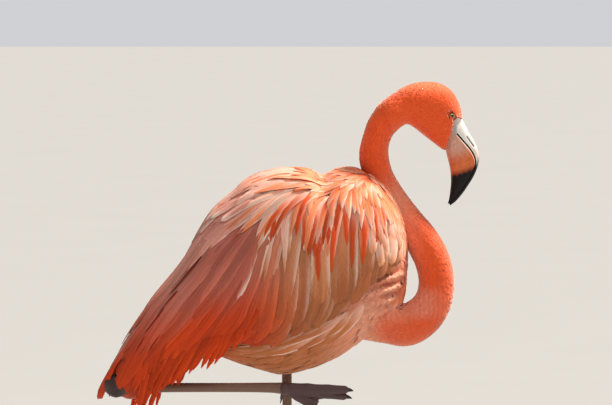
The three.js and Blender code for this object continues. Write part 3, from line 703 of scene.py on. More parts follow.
def tones(base, tip=None, root=None, rim=None, strength=1.0, vary=0.1):
    """A function that gives every vane of a layer its colours, a little different each.

    Each colour is the name of one of the scene's colours or a function of places on the vanes'
    middle lines."""
    def give(p, rng):
        n = len(p)
        value = 1 + vary * (2 * rng.random((n, 1, 1)) - 1)
        shift = 1 + HUE_SPREAD * (2 * rng.random((n, 1, 1)) - 1) * np.array((0.0, 1.0, 1.0))

        def of(colour):
            plain = np.broadcast_to(hue(colour), p.shape) if isinstance(colour, str) else colour(p)
            return np.clip(plain * value * shift, 0, 1)
        body = of(base)
        return dict(base=body, tip=body if tip is None else of(tip),
                    # Without a given root colour the root is the body colour darkened to 0.8: painted
                    # shade where each vane lies under the ones over it.
                    root=body * 0.8 if root is None else of(root),
                    rim=body if rim is None else of(rim),
                    strength=strength * lerp(0.25, 1.0, rng.random(n)))
    return give


# -------- meshes
def new_mesh(name, points, faces):
    """A mesh in metres from points in millimetres and arrays of faces of one size each."""
    mesh = bpy.data.meshes.new(name)
    corners = np.concatenate([f.ravel() for f in faces])
    sizes = np.concatenate([np.full(len(f), f.shape[1]) for f in faces])
    mesh.vertices.add(len(points))
    mesh.vertices.foreach_set("co", (points * MM).astype(np.float32).ravel())
    mesh.loops.add(len(corners))
    mesh.loops.foreach_set("vertex_index", corners.astype(np.int32))
    mesh.polygons.add(len(sizes))
    starts = np.cumsum(sizes) - sizes
    mesh.polygons.foreach_set("loop_start", starts.astype(np.int32))
    mesh.update(calc_edges=True)
    mesh.polygons.foreach_set("use_smooth", np.ones(len(sizes), bool))
    if mesh.validate():
        raise RuntimeError(f"{name} had faces that are not valid")
    return mesh


def added(name, data):
    """A new object in the scene."""
    thing = bpy.data.objects.new(name, data)
    bpy.context.scene.collection.objects.link(thing)
    return thing


def put_map(mesh, name, uv):
    """A UV map with one place for each vertex."""
    corners = np.empty(len(mesh.loops), np.int32)
    mesh.loops.foreach_get("vertex_index", corners)
    mesh.uv_layers.new(name=name).data.foreach_set("uv", uv[corners].astype(np.float32).ravel())


def put_colour(mesh, name, rgba):
    """A colour for each vertex; three columns get a fourth of 1."""
    if rgba.shape[1] == 3:
        rgba = np.concatenate((rgba, np.ones((len(rgba), 1))), 1)
    layer = mesh.attributes.new(name, "FLOAT_COLOR", "POINT")
    layer.data.foreach_set("color", rgba.astype(np.float32).ravel())


def place(name, mesh, finish, slot, replaced=()):
    """Puts a mesh in the scene as a piece of the bird with its finish, under the root's empty, and hides
    the imported parts it replaces.
    """
    piece = added(name, mesh)
    mesh.materials.append(bpy.data.materials[finish])
    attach(piece, "root")
    if replaced:
        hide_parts(*replaced)


def tinted_piece(name, points, faces, tint, finish, slot, replaced=()):
    """A piece of the bird whose points carry their own colours."""
    mesh = new_mesh(name, points, faces)
    put_colour(mesh, "tint", np.broadcast_to(tint, points.shape))
    place(name, mesh, finish, slot, replaced)


def sharpen(mesh, rim):
    """Marks as sharp the edges that join two points of the same side of a vane's rim."""
    ends = np.empty(2 * len(mesh.edges), np.int32)
    mesh.edges.foreach_get("vertices", ends)
    first, second = rim[ends.reshape(-1, 2)].T
    sharp = mesh.attributes.new("sharp_edge", "BOOLEAN", "EDGE")
    sharp.data.foreach_set("value", (first > 0) & (first == second))


def place_coat(name, layers, finish, slot, replaced=()):
    """One piece of coat from layers of vanes, with its maps and colours.

    The baking map gives each vane a small patch at its root's place on the surface's own two
    parameters."""
    span = np.concatenate([layer["roots"] for layer in layers])
    low, high = span.min(0), span.max(0)
    points, quads, fans, vane, bake, face, edge, rim = ([] for _ in range(8))
    start = 0
    for layer in layers:
        n, rows, ring, _ = layer["points"].shape
        columns = ring - 1
        base = start + np.arange(n)[:, None, None] * (rows * ring)
        four, three = vane_faces(rows, columns)
        quads.append((base + four).reshape(-1, 4))
        fans.append((base + three).reshape(-1, 3))
        points.append(layer["points"].reshape(-1, 3))
        u = np.broadcast_to((layer["across"] + 1) / 2, (n, rows, ring))
        v = np.broadcast_to(layer["v"][None, :, None], (n, rows, ring))
        vane.append(np.stack((u, v), -1).reshape(-1, 2))
        spot = (0.004 + 0.992 * (layer["roots"] - low) / (high - low))[:, None, None, :]
        bake.append((spot + PATCH * (np.stack((u, v), -1) - 0.5)).reshape(-1, 2))
        one, two = vane_colours(layer)
        face.append(one)
        edge.append(two)
        sides = np.zeros((rows, ring), np.int32)
        sides[:, 0] = 1
        sides[:, columns - 1] = 2
        rim.append(np.broadcast_to(sides, (n, rows, ring)).reshape(-1))
        start += n * rows * ring
    mesh = new_mesh(name, np.concatenate(points), (np.concatenate(quads), np.concatenate(fans)))
    put_map(mesh, "vane", np.concatenate(vane))
    put_map(mesh, "OFBake", np.concatenate(bake))
    put_colour(mesh, "tint", np.concatenate(face))
    put_colour(mesh, "rim", np.concatenate(edge))
    sharpen(mesh, np.concatenate(rim))
    place(name, mesh, finish, slot, replaced)


def grid_faces(rows, columns):
    """Quads of a grid of points whose columns join up into a tube."""
    i, j = crossed(np.arange(rows - 1), np.arange(columns))
    k = (j + 1) % columns
    quads = np.stack((i * columns + j, (i + 1) * columns + j, (i + 1) * columns + k,
                      i * columns + k), -1)
    return quads.reshape(-1, 4)


def tube(points):
    """Points and faces of a closed skin over rings of points, with a fan over each end."""
    rows, columns, _ = points.shape
    flat = np.concatenate((points.reshape(-1, 3), points[:1].mean(1), points[-1:].mean(1)))
    j = np.arange(columns)
    k = (j + 1) % columns
    first = np.stack((j, k, np.full(columns, rows * columns)), -1)
    last = np.stack((k, j, np.full(columns, rows * columns + 1)), -1)
    last[:, :2] += (rows - 1) * columns
    return flat, [grid_faces(rows, columns), np.concatenate((first, last))]


def joined(parts):
    """Several closed parts as one list of points and faces."""
    start, points, faces = 0, [], []
    for part_points, part_faces in parts:
        points.append(part_points)
        faces.extend(f + start for f in part_faces)
        start += len(part_points)
    return np.concatenate(points), faces


def rings(surface, a_values, columns, out=0.0):
    """Rings of points on a surface, moved out along its normal."""
    a, b = crossed(a_values, (np.arange(columns) + 0.5) * 2 * math.pi / columns - math.pi)
    p, _, _, n = frame_on(surface, a, b)
    return p + n * out


# -------- shader helpers
class Nodes:
    """Short calls that add nodes to a tree and join them."""

    def __init__(self, tree):
        self.tree = tree

    def add(self, kind, inputs=(), **settings):
        """A node of a kind, with its settings, and inputs by name or place."""
        node = self.tree.nodes.new(kind)
        for key, value in settings.items():
            setattr(node, key, value)
        for key, value in dict(inputs).items():
            self.feed(node.inputs[key], value)
        return node

    def feed(self, socket, value):
        """Joins an output to a socket, or sets the socket's own value."""
        if isinstance(value, bpy.types.NodeSocket):
            self.tree.links.new(value, socket)
        else:
            socket.default_value = value

    def math(self, operation, first, second=0.0, clamp=False):
        """One Math node."""
        node = self.add("ShaderNodeMath", {0: first, 1: second}, operation=operation)
        node.use_clamp = clamp
        return node.outputs[0]

    def times(self, first, second, clamp=False):
        """A product."""
        return self.math("MULTIPLY", first, second, clamp)

    def plus(self, first, second):
        """A sum."""
        return self.math("ADD", first, second)

    def less(self, first, second):
        """A difference."""
        return self.math("SUBTRACT", first, second)

    def scaled(self, colour, factor):
        """A colour times a number."""
        inputs = {0: colour, "Scale": factor}
        return self.add("ShaderNodeVectorMath", inputs, operation="SCALE").outputs[0]

    def ramp(self, value, low, high, to_low=0.0, to_high=1.0):
        """A smooth Map Range."""
        inputs = {"Value": value, "From Min": low, "From Max": high, "To Min": to_low,
                  "To Max": to_high}
        return self.add("ShaderNodeMapRange", inputs, interpolation_type="SMOOTHSTEP").outputs[0]

    def mix(self, share, first, second):
        """A mix of two colours."""
        node = self.add("ShaderNodeMix", data_type="RGBA")
        for socket, value in zip((0, 6, 7), (share, first, second)):
            self.feed(node.inputs[socket], value)
        return node.outputs[2]

    def noise(self, vector, scale, detail=3.0, roughness=0.5):
        """The height of a noise."""
        inputs = {"Vector": vector, "Scale": scale, "Detail": detail, "Roughness": roughness}
        return self.add("ShaderNodeTexNoise", inputs).outputs["Fac"]


def new_group(name, inputs, outputs):
    """An empty shader node group with named sockets; returns it with its helper and ends."""
    tree = bpy.data.node_groups.new(name, "ShaderNodeTree")
    for label, (kind, value) in inputs.items():
        socket = tree.interface.new_socket(label, in_out="INPUT", socket_type=kind)
        socket.default_value = value
    for label, kind in outputs.items():
        tree.interface.new_socket(label, in_out="OUTPUT", socket_type=kind)
    nodes = Nodes(tree)
    return tree, nodes, nodes.add("NodeGroupInput").outputs, nodes.add("NodeGroupOutput").inputs


def vane_group():
    """Marks of a feather's vane from its own map: pale rim, barbs that slant out from the shaft,
    streaks along it and the shaft's line."""
    inputs = {
        "Face": ("NodeSocketColor", (0.8, 0.3, 0.15, 1)), "Rim": ("NodeSocketColor", (1, 0.7, 0.6, 1)),
        "Strength": ("NodeSocketFloat", 1.0), "Mark": ("NodeSocketFloat", 0.5),
        "Rim Width": ("NodeSocketFloat", 0.3), "Tip Rim": ("NodeSocketFloat", 0.3),
        "Barbs": ("NodeSocketFloat", 60.0),
        "Depth": ("NodeSocketFloat", 0.2), "Shaft": ("NodeSocketFloat", 0.2),
    }
    outputs = {"Color": "NodeSocketColor", "Height": "NodeSocketFloat"}
    tree, nodes, given, result = new_group("Feather vane", inputs, outputs)
    uv = nodes.add("ShaderNodeUVMap", uv_map="vane").outputs[0]
    place = nodes.add("ShaderNodeSeparateXYZ", {0: uv}).outputs
    off = nodes.math("ABSOLUTE", nodes.less(nodes.times(place[0], 2.0), 1.0))
    inner = nodes.less(1.0, given["Rim Width"])
    side_rim = nodes.ramp(off, inner, 1.0)
    tip_start = nodes.less(1.0, nodes.times(given["Rim Width"], 0.5))
    tip_rim = nodes.ramp(place[1], tip_start, 1.0)
    held = nodes.times(nodes.ramp(place[1], 0.05, 0.45), nodes.ramp(place[1], 1.0, 0.65))
    rim = nodes.math("MAXIMUM", nodes.times(side_rim, held),
                     nodes.times(tip_rim, given["Tip Rim"]))
    along = nodes.less(place[1], nodes.times(off, 0.16))
    spot = nodes.times(given["Mark"], 61.0)
    barb_place = nodes.add("ShaderNodeCombineXYZ", {
        0: nodes.times(along, given["Barbs"]), 1: nodes.times(off, 1.5),
        2: spot}).outputs[0]
    barb = nodes.noise(barb_place, 1.0, 2.0)
    streak_place = nodes.add("ShaderNodeCombineXYZ", {
        0: nodes.times(place[0], 7.0), 1: nodes.times(place[1], 1.6),
        2: spot}).outputs[0]
    streak = nodes.noise(streak_place, 1.0, 3.0)
    fray = nodes.plus(rim, nodes.times(nodes.less(barb, 0.5), 0.9))
    rim = nodes.times(nodes.ramp(fray, 0.15, 1.0), given["Strength"], clamp=True)
    face = nodes.mix(rim, given["Face"], given["Rim"])
    shaft = nodes.times(nodes.ramp(off, 0.09, 0.0), given["Shaft"])
    grain = nodes.plus(nodes.times(barb, 0.45), nodes.times(streak, 0.75))
    shade = nodes.times(nodes.less(grain, 0.6), given["Depth"])
    shade = nodes.plus(nodes.times(shade, 3.0), 1.0)
    shade = nodes.less(shade, shaft)
    nodes.feed(result["Color"], nodes.scaled(face, shade))
    height = nodes.plus(barb, nodes.times(shaft, 1.5))
    nodes.feed(result["Height"], height)
    return tree


def surface_material(name, roughness, build, **sockets):
    """A material with one Principled shader; build feeds it and gets the helper and the shader."""
    material = bpy.data.materials.new(name)
    material.use_nodes = True
    nodes = Nodes(material.node_tree)
    shader = material.node_tree.nodes["Principled BSDF"]
    shader.inputs["Roughness"].default_value = roughness
    for key, value in sockets.items():
        shader.inputs[key.replace("_", " ")].default_value = value
    build(nodes, shader)
    return material


def bump(nodes, shader, height, strength, distance):
    """Feeds a height to the shader's normal."""
    inputs = {"Height": height, "Strength": strength, "Distance": distance}
    nodes.feed(shader.inputs["Normal"], nodes.add("ShaderNodeBump", inputs).outputs[0])


def feather_material(name, roughness, rim_width, tip_rim, barbs, depth, shaft, sheen):
    """A feather finish: the vane marks over the colours that each vane carries."""
    def build(nodes, shader):
        tint = nodes.add("ShaderNodeAttribute", attribute_name="tint").outputs
        rim = nodes.add("ShaderNodeAttribute", attribute_name="rim").outputs
        group = nodes.add("ShaderNodeGroup", node_tree=bpy.data.node_groups["Feather vane"])
        for key, value in {
            "Face": tint["Color"], "Rim": rim["Color"], "Strength": rim["Alpha"],
            "Mark": tint["Alpha"], "Rim Width": rim_width, "Tip Rim": tip_rim, "Barbs": barbs,
            "Depth": depth, "Shaft": shaft,
        }.items():
            nodes.feed(group.inputs[key], value)
        nodes.feed(shader.inputs["Base Color"], group.outputs["Color"])
        bump(nodes, shader, group.outputs["Height"], 0.35, 0.0004)
    return surface_material(name, roughness, build, Sheen_Weight=sheen, Sheen_Roughness=0.45,
                            Sheen_Tint=(1.0, 0.72, 0.58, 1.0), Specular_IOR_Level=0.18)


def tinted_material(name, roughness, grain, depth, bump_height, **sockets):
    """A finish that takes its colour from the mesh and breaks it with fine grain."""
    def build(nodes, shader):
        tint = nodes.add("ShaderNodeAttribute", attribute_name="tint").outputs["Color"]
        place_of = nodes.add("ShaderNodeTexCoord").outputs["Object"]
        fine = nodes.noise(place_of, grain, 4.0, 0.6)
        broad = nodes.noise(place_of, grain * 0.13, 3.0, 0.5)
        mottle = nodes.plus(nodes.times(fine, 0.6), nodes.times(broad, 0.6))
        shade = nodes.plus(nodes.times(nodes.less(mottle, 0.6), depth), 1.0)
        nodes.feed(shader.inputs["Base Color"], nodes.scaled(tint, shade))
        bump(nodes, shader, fine, 0.4, bump_height)
    return surface_material(name, roughness, build, **sockets)


# -------- what a user can change
def colour(name, description, display):
    """A colour property; its default is given as display values."""
    return bpy.props.FloatVectorProperty(
        name=name, description=description, subtype="COLOR", size=3, min=0.0, max=1.0,
        default=tuple(float(c) for c in to_linear(display)))


def length(name, description, default):
    """A length property in metres."""
    return bpy.props.FloatProperty(
        name=name, description=description, default=default, min=0.0, unit="LENGTH",
        subtype="DISTANCE", precision=4)


class FlamingoSizes(bpy.types.PropertyGroup):
    """Lengths of the coat's feathers and depths under it."""

    skin_depth: length("Skin depth", "How far the body's skin lies inside the coat", 0.006)
    neck_depth: length("Neck depth", "How far the neck's skin lies inside the coat", 0.0025)
    voxel: length("Skin grain", "Size of the cells that the skin is fused from", 0.0024)
    head_tuft: length("Head tuft", "Length of the head's feathers", 0.0058)
    neck_tuft: length("Neck tuft", "Length of the neck's feathers", 0.0115)
    breast_vane: length("Breast feather", "Length of the breast's feathers", 0.016)
    belly_vane: length("Belly feather", "Length of the belly's feathers", 0.062)
    mantle_vane: length("Mantle feather", "Length of the back's feathers", 0.050)
    scapular: length("Scapular", "Length of the feathers that hang from the shoulder", 0.108)
    tertial: length("Tertial", "Length of the longest wing feathers", 0.25)
    plume: length("Plume", "Length of the drooping plumes", 0.13)


class FlamingoColours(bpy.types.PropertyGroup):
    """Colours of the coat and of the bare parts."""

    neck: colour("Neck", "Neck and head feathers", (240, 88, 34))
    breast: colour("Breast", "Breast feathers", (240, 156, 124))
    belly: colour("Belly", "Belly and flank feathers", (194, 114, 68))
    mantle: colour("Mantle", "Back feathers", (246, 138, 92))
    hump: colour("Hump", "Long feathers of the back's hump", (240, 184, 162))
    scapular: colour("Scapulars", "Feathers that hang from the shoulder", (230, 84, 30))
    # Covert tops and covert ends are partly painted light: the tops paler as a painted highlight where
    # light falls on them, the ends darker as painted shade.
    covert_top: colour("Covert tops", "Upper broad wing feathers", (236, 178, 156))
    covert: colour("Coverts", "Broad wing feathers", (216, 140, 98))
    covert_end: colour("Covert ends", "Lower ends of the broad wing feathers", (182, 106, 64))
    rose_top: colour("Rear tops", "Upper rear wing feathers", (224, 148, 132))
    tertial: colour("Tertials", "Long rear wing feathers", (186, 100, 84))
    plume: colour("Plumes", "Drooping plumes", (206, 64, 16))
    pale: colour("Pale rims", "Rims of the upper feathers", (250, 222, 206))
    # Deep red is painted shade: it colours the narrow lances that stand for the shaded gaps between the
    # rear feathers.
    deep: colour("Deep red", "Roots and gaps of the rear feathers", (128, 34, 18))
    bare: colour("Bare skin", "Skin between eye and bill", (176, 162, 156))
    bill_base: colour("Bill base", "Pale base of the bill", (226, 222, 216))
    bill_flesh: colour("Bill flesh", "Pink of the lower bill's base", (212, 158, 138))
    bill_orange: colour("Bill orange", "Orange of the lower bill", (216, 112, 64))
    bill_tip: colour("Bill tip", "Black of the bill's tip", (22, 18, 18))
    iris: colour("Iris", "Colour of the eye", (160, 136, 66))
    leg: colour("Leg", "Leg scales", (126, 94, 78))
    foot: colour("Foot", "Foot and web", (84, 60, 60))
    claw: colour("Claw", "Claws", (40, 30, 30))


def sizes():
    """The scene's sizes."""
    return bpy.context.scene.flamingo_sizes


def hue(name):
    """One of the scene's colours as linear light."""
    return np.array(getattr(bpy.context.scene.flamingo_colours, name))


def mm(metres):
    """Millimetres of a length property."""
    return metres / MM


# -------- stage
CAMERA_AIM = (0.024, 0.0, 0.718)
CAMERA_AWAY, CAMERA_RISE = 6.0, math.radians(4.5)
CAMERA_SPAN = 0.918  # width of what the camera sees at its aim


def floor():
    """A wide pale floor, one square that reaches to the horizon."""
    x, y = crossed((-60.0, 60.0), (-60.0, 60.0))
    grid = stacked(x, y, 0.0) / MM
    mesh = new_mesh("floor", grid.reshape(-1, 3), [np.array(((0, 2, 3, 1),))])

    def build(nodes, shader):
        grain = nodes.noise(nodes.add("ShaderNodeTexCoord").outputs["Object"], 3.0)
        nodes.feed(shader.inputs["Base Color"], nodes.mix(
            nodes.ramp(grain, 0.3, 0.7), (0.395, 0.39, 0.38, 1), (0.4, 0.395, 0.385, 1)))
    mesh.materials.append(surface_material("pale_paper", 0.9, build))
    added("floor", mesh)


def look_at(thing, at):
    """Turns a camera or a light so that it looks at a point."""
    way = unit(np.array(at, float) - np.array(thing.location))
    thing.rotation_euler = (math.acos(max(-1.0, min(1.0, -way[2]))), 0.0,
                            math.atan2(way[1], way[0]) - math.pi / 2)


def lamp(name, kind, at, aim, strength, tone, **shape):
    """A light that looks at a point."""
    light = bpy.data.lights.new(name, kind)
    light.energy = strength
    light.color = tone
    for key, value in shape.items():
        setattr(light, key, value)
    thing = added(name, light)
    thing.location = at
    look_at(thing, aim)


def camera():
    """The camera, level with the bird's body and looking a little down on it."""
    data = bpy.data.cameras.new("camera")
    data.sensor_width = 36.0
    data.lens = 36.0 * CAMERA_AWAY / CAMERA_SPAN
    data.clip_end = 30.0
    eye = added("camera", data)
    eye.location = (CAMERA_AIM[0], -CAMERA_AWAY * math.cos(CAMERA_RISE),
                    CAMERA_AIM[2] + CAMERA_AWAY * math.sin(CAMERA_RISE))
    look_at(eye, CAMERA_AIM)
    bpy.context.scene.camera = eye


SUN_FROM, SUN_STRENGTH, SUN_ANGLE = (1.6, 0.55, 2.5), 6.6, 0.2


def lights():
    """A high soft sun from ahead and a little behind, a weak fill and a pale surround."""
    lamp("sun", "SUN", SUN_FROM, (0.0, 0.0, 0.0), SUN_STRENGTH, (1.0, 0.95, 0.88), angle=SUN_ANGLE)
    lamp("fill", "AREA", (0.8, -2.2, 3.2), (0.0, 0.0, 0.65), 42.0, (1.0, 0.96, 0.9), size=1.6)
    world = bpy.data.worlds.new("studio")
    world.use_nodes = True
    nodes = Nodes(world.node_tree)
    background = world.node_tree.nodes["Background"]
    background.inputs["Color"].default_value = (0.95, 0.96, 1.0, 1.0)
    seen = nodes.add("ShaderNodeLightPath").outputs["Is Camera Ray"]
    nodes.feed(background.inputs["Strength"], nodes.ramp(seen, 0.0, 1.0, 0.15, 0.66))
    bpy.context.scene.world = world
    bpy.context.scene.view_settings.view_transform = "Standard"


# -------- skin
def body_form(t, a):
    """The trunk, thickened by the folded wing above the wing's lower edge."""
    x = trunk_at(t)
    edge = angle_at(x, wing_edge(x))
    over = 1 - smooth(edge - 0.12, edge + 0.12, np.abs(a))
    lifted = wing_lift(x) * over * smooth(-110, -60, x) * (1 - smooth(150, 170, x))
    return body_oval(x, trunk_top(x), trunk_bottom(x), trunk_half_width(x) + lifted, a)


def fused(name, parts, voxel, rounds):
    """One closed skin round several closed parts: a voxel remesh and rounds of smoothing."""
    whole = added(name, new_mesh(name, *joined(parts)))
    remesh = whole.modifiers.new("fuse", "REMESH")
    remesh.mode = "VOXEL"
    remesh.voxel_size = voxel
    remesh.use_smooth_shade = True
    soften = whole.modifiers.new("soften", "SMOOTH")
    soften.factor = 0.5
    soften.iterations = rounds
    ready = whole.evaluated_get(bpy.context.evaluated_depsgraph_get())
    mesh = bpy.data.meshes.new_from_object(ready)
    old = whole.data
    bpy.data.objects.remove(whole)
    bpy.data.meshes.remove(old)
    mesh.name = name
    return mesh


def mesh_points(mesh):
    """A mesh's points in millimetres."""
    flat = np.empty(3 * len(mesh.vertices), np.float32)
    mesh.vertices.foreach_get("co", flat)
    return flat.reshape(-1, 3).astype(float) / MM


def eye_distance(p):
    """Distance from the eye's middle in the head's plane, for points in the head's frame."""
    return np.hypot(p[..., 0] - EYE_AT[0], p[..., 2] - EYE_AT[1])


HEAD_DEPTH = 1.0  # depth of the head's coat
# hind limit of the bare skin of the face, as a place at each height in the head's plane
bare_limit = through(((793, 232), (808, 234.5), (820, 237), (829, 238.5), (835, 240.5), (839, 249),
                      (843, 257.5), (850, 266)))


def bare_share(p):
    """1 on the bare skin between eye and bill and round the eye, 0 on feathered skin."""
    h = to_head(p)
    front = smooth(-1.5, 1.0, h[..., 0] - bare_limit(h[..., 2]))
    low = smooth(700, 770, h[..., 2])
    along = np.clip((h[..., 0] - EYE_AT[0]) / 8.0, 0, 1)
    lane = np.hypot(h[..., 0] - EYE_AT[0] - 8 * along, h[..., 2] - EYE_AT[1] + 13 * along)
    ring = 1 - smooth(6.4, 7.5, lane - 3.2 * along)
    on_head = smooth(205, 215, h[..., 0])
    return np.maximum(front, ring) * low * on_head


def coat_colour(p):
    """Colour of the plain body coat by place: neck and head deepest, breast and belly paler, with painted
    light: painted shade and highlight across the breast's folds and painted highlights on the crown and on
    top of the neck's bend.
    """
    x, z = p[..., 0], p[..., 2]
    body = smooth(-28, 40, np.minimum(185 - x, 745 - z))[..., None]
    belly = smooth(120, 20, x)[..., None] * smooth(640, 560, z)[..., None]
    vent = smooth(-60, -130, x)[..., None]
    # Painted highlight and painted shade: the folds' ridges are paler and their hollows darker and redder,
    # partly also the feathers' roots showing in the hollows.
    fold = np.clip(breast_folds(x, z) / FOLD_HEIGHT, -1, 1)[..., None]
    trunk = hue("breast") * (1 + 0.2 * fold * np.array((0.8, 1.7, 1.9)))
    trunk = lerp(trunk, hue("belly"), belly)
    trunk = lerp(trunk, hue("plume"), vent * 0.6)
    # A painted highlight: the crown is paled toward the mantle's peach where light falls on top of the
    # head.
    crown = smooth(876, 899, z) * smooth(140, 175, x)
    head = lerp(hue("neck"), hue("mantle"), (0.55 * crown)[..., None])
    nape_to_breast = lerp(head, trunk, body)
    below = smooth(562, 530, z) * smooth(112, 150, x)
    # A painted highlight: peach streaks on top of the neck's lower bend, where light falls on it.
    lit_bend = bell(x, 200, 26) * smooth(536, 560, z) * smooth(600, 578, z)
    ripple = 0.7 + 0.3 * np.sin(0.9 * x + 0.5 * np.sin(0.21 * z))
    throat = lerp(nape_to_breast, hue("neck"), (0.8 * below)[..., None])
    return lerp(throat, hue("hump"), (0.5 * lit_bend * ripple)[..., None])


def build_skin():
    """Trunk, neck and head fused into one skin, with hollows for the eyes and the colours of the bare
    face.
    """
    depth = mm(sizes().skin_depth)
    neck_depth = mm(sizes().neck_depth)
    parts = [
        tube(rings(body_form, np.linspace(0.03, 0.97, 70), 96, -depth)),
        tube(rings(neck_surface, np.linspace(0.0, 0.995, 120), 40, -neck_depth)),
        tube(rings(head_surface, np.linspace(0.02, 1.0, 60), 56, -HEAD_DEPTH)),
    ]
    mesh = fused("skin", parts, sizes().voxel, 4)
    p = mesh_points(mesh)
    normals = np.empty(3 * len(p), np.float32)
    mesh.vertices.foreach_get("normal", normals)
    normals = normals.reshape(-1, 3)
    for _ in range(5):
        inside = in_neck(p, -neck_depth + 0.6) | in_head(p, -HEAD_DEPTH) | in_trunk(p, -2.0)
        p -= normals * (~inside & (p[:, 0] > 110))[:, None]
    h = to_head(p)
    near = (h[:, 0] > 225) & (h[:, 2] > 770)
    push = 4.6 * (1 - smooth(3.6, 8.8, eye_distance(h))) * near
    h[:, 1] -= np.sign(h[:, 1]) * push
    moved = np.where(near[:, None], from_head(h[:, 0], h[:, 1], h[:, 2]), p)
    mesh.vertices.foreach_set("co", (moved * MM).astype(np.float32).ravel())
    bare = bare_share(p)[:, None]
    around = (1 - smooth(5.5, 9.0, eye_distance(h)))[:, None]
    face = lerp(hue("bill_flesh") * 0.8, hue("bare"), smooth(812, 830, h[:, 2])[:, None])
    by_bill = smooth(5.0, 9.0, h[:, 0] - bare_limit(h[:, 2])) * smooth(818, 830, h[:, 2])
    face = lerp(face, hue("bill_base"), by_bill[:, None])
    face = lerp(face, hue("neck") * np.array((0.75, 0.8, 1.0)), around)
    put_colour(mesh, "tint", lerp(coat_colour(p), face, bare))
    place("skin", mesh, "skin", "body_feathers",
          ("trunk", "neck_1", "neck_2", "neck_3", "neck_4", "neck_5", "head"))


# -------- coat of head and neck
def falling(degrees):
    """The direction straight back along the body, turned downward by some degrees."""
    angle = np.radians(degrees)
    return stacked(-np.cos(angle), 0.0, -np.sin(angle))


def down_the_parameter(p, pa):
    """Feathers that point to where the surface's first parameter falls."""
    return -pa


def build_head_coat():
    """Small close feathers that lie back from the bill over the head."""
    def keep(p):
        return (bare_share(p) < 0.5) & ~in_neck(p, -9.0)
    roots = scatter(head_surface, (0.015, 0.985), (-math.pi, math.pi), 1.88, 11, keep)
    tuft = mm(sizes().head_tuft)
    near_face = 1.1 - 0.4 * roots[0]
    long = np.minimum(1.9, 1.35 + 6 * roots[0]) * tuft * near_face
    layer = lay(head_surface, roots, long, 4.4 * near_face, down_the_parameter,
                "tuft", tones(coat_colour, root=coat_colour, vary=0.06), 12,
                lift=(-0.7, -0.3), turn=0.1, settle=lambda p: filled(neck_gap(p)))
    place_coat("coat_head", [layer], "neck_coat", "neck_feathers")


def hue_of(name, factor):
    """A colour function that gives one of the scene's colours everywhere, times a factor."""
    return lambda p: np.broadcast_to(hue(name) * factor, p.shape)


def build_neck_coat():
    """Short feathers that lie down the neck, smaller towards the head, and longer soft ones on
    the nape, where the head's coat ends."""
    def keep(p):
        return ~in_trunk(p, -4.0) & ~in_head(p, -12.0)

    def gap(p):
        return lerp(2.75, 2.25, smooth(600, 850, p[..., 2]))

    def tufts(span, spacing, long, wide, kind, lift, turn, seed):
        roots = scatter(neck_surface, span, (-math.pi, math.pi), spacing, seed, keep)
        size = lerp(1.1, 0.72, roots[0])
        # Roots darkened to 0.92: painted shade between the tufts; the tips are 3% paler.
        return lay(neck_surface, roots, long * mm(sizes().neck_tuft) * size, wide * size,
                   down_the_parameter, kind,
                   tones(coat_colour, root=lambda p: coat_colour(p) * 0.92,
                         tip=lambda p: coat_colour(p) * 1.03, vary=0.06), seed + 1,
                   lift=lift, turn=turn, settle=lambda p: filled(head_gap(p)))
    for name, layers in (
            ("coat_neck_lower", [tufts((0.04, 0.5), gap, 1.5, 5.2, "tuft", (-1.1, -0.35), 0.12, 21)]),
            ("coat_neck_upper", [tufts((0.5, 0.998), gap, 1.5, 5.2, "tuft", (-1.1, -0.35), 0.12, 31),
                                 tufts((0.95, 0.998), 3.0, 2.0, 6.0, "down", (-0.9, 0.3), 0.24, 35)])):
        place_coat(name, layers, "neck_coat", "neck_feathers")


# -------- coat of breast, flank and belly
breast_fall = through(((-175, -14), (-80, 6), (0, 20), (60, 36), (110, 58), (150, 80), (176, 86)))


def down_the_flank(p, pa):
    """Feathers of breast and belly: down at the front and back along the belly."""
    return falling(breast_fall(p[..., 0]))


def on_trunk(x, z, side):
    """Parameters of the trunk's surface at places x along it and z up it."""
    t = np.searchsorted(trunk_at(np.linspace(0, 1, 2001)), x) / 2000
    return t, side * oval_angle(z, trunk_top(x), trunk_bottom(x))


ridge_front = through(((545, 150), (562, 166), (578, 171), (600, 173), (640, 175), (670, 170), (700, 158)))


def ridge_surface(a, b):
    """The stringy ridge down the middle of the breast: a upward and b across, both in 100 mm."""
    z, y = 100 * np.asarray(a), 100 * np.asarray(b)
    return stacked(ridge_front(z) - y ** 2 / 40, y, z)


def build_ridge():
    """Narrow feathers that hang one over another down the front of the breast."""
    roots = scatter(ridge_surface, (5.75, 6.85), (-0.3, 0.3), 6.0, 61)
    layer = lay(ridge_surface, roots, 34, 7.0, down_the_parameter, "lance",
                tones(hue_of("breast", 1.05), root="mantle", tip="hump",
                      rim="pale", strength=0.7, vary=0.16),
                62, lift=(-2.5, 0.8), turn=0.12, ragged=0.2, spread=0.25)
    place_coat("coat_breast_ridge", [layer], "body_coat", "body_feathers")


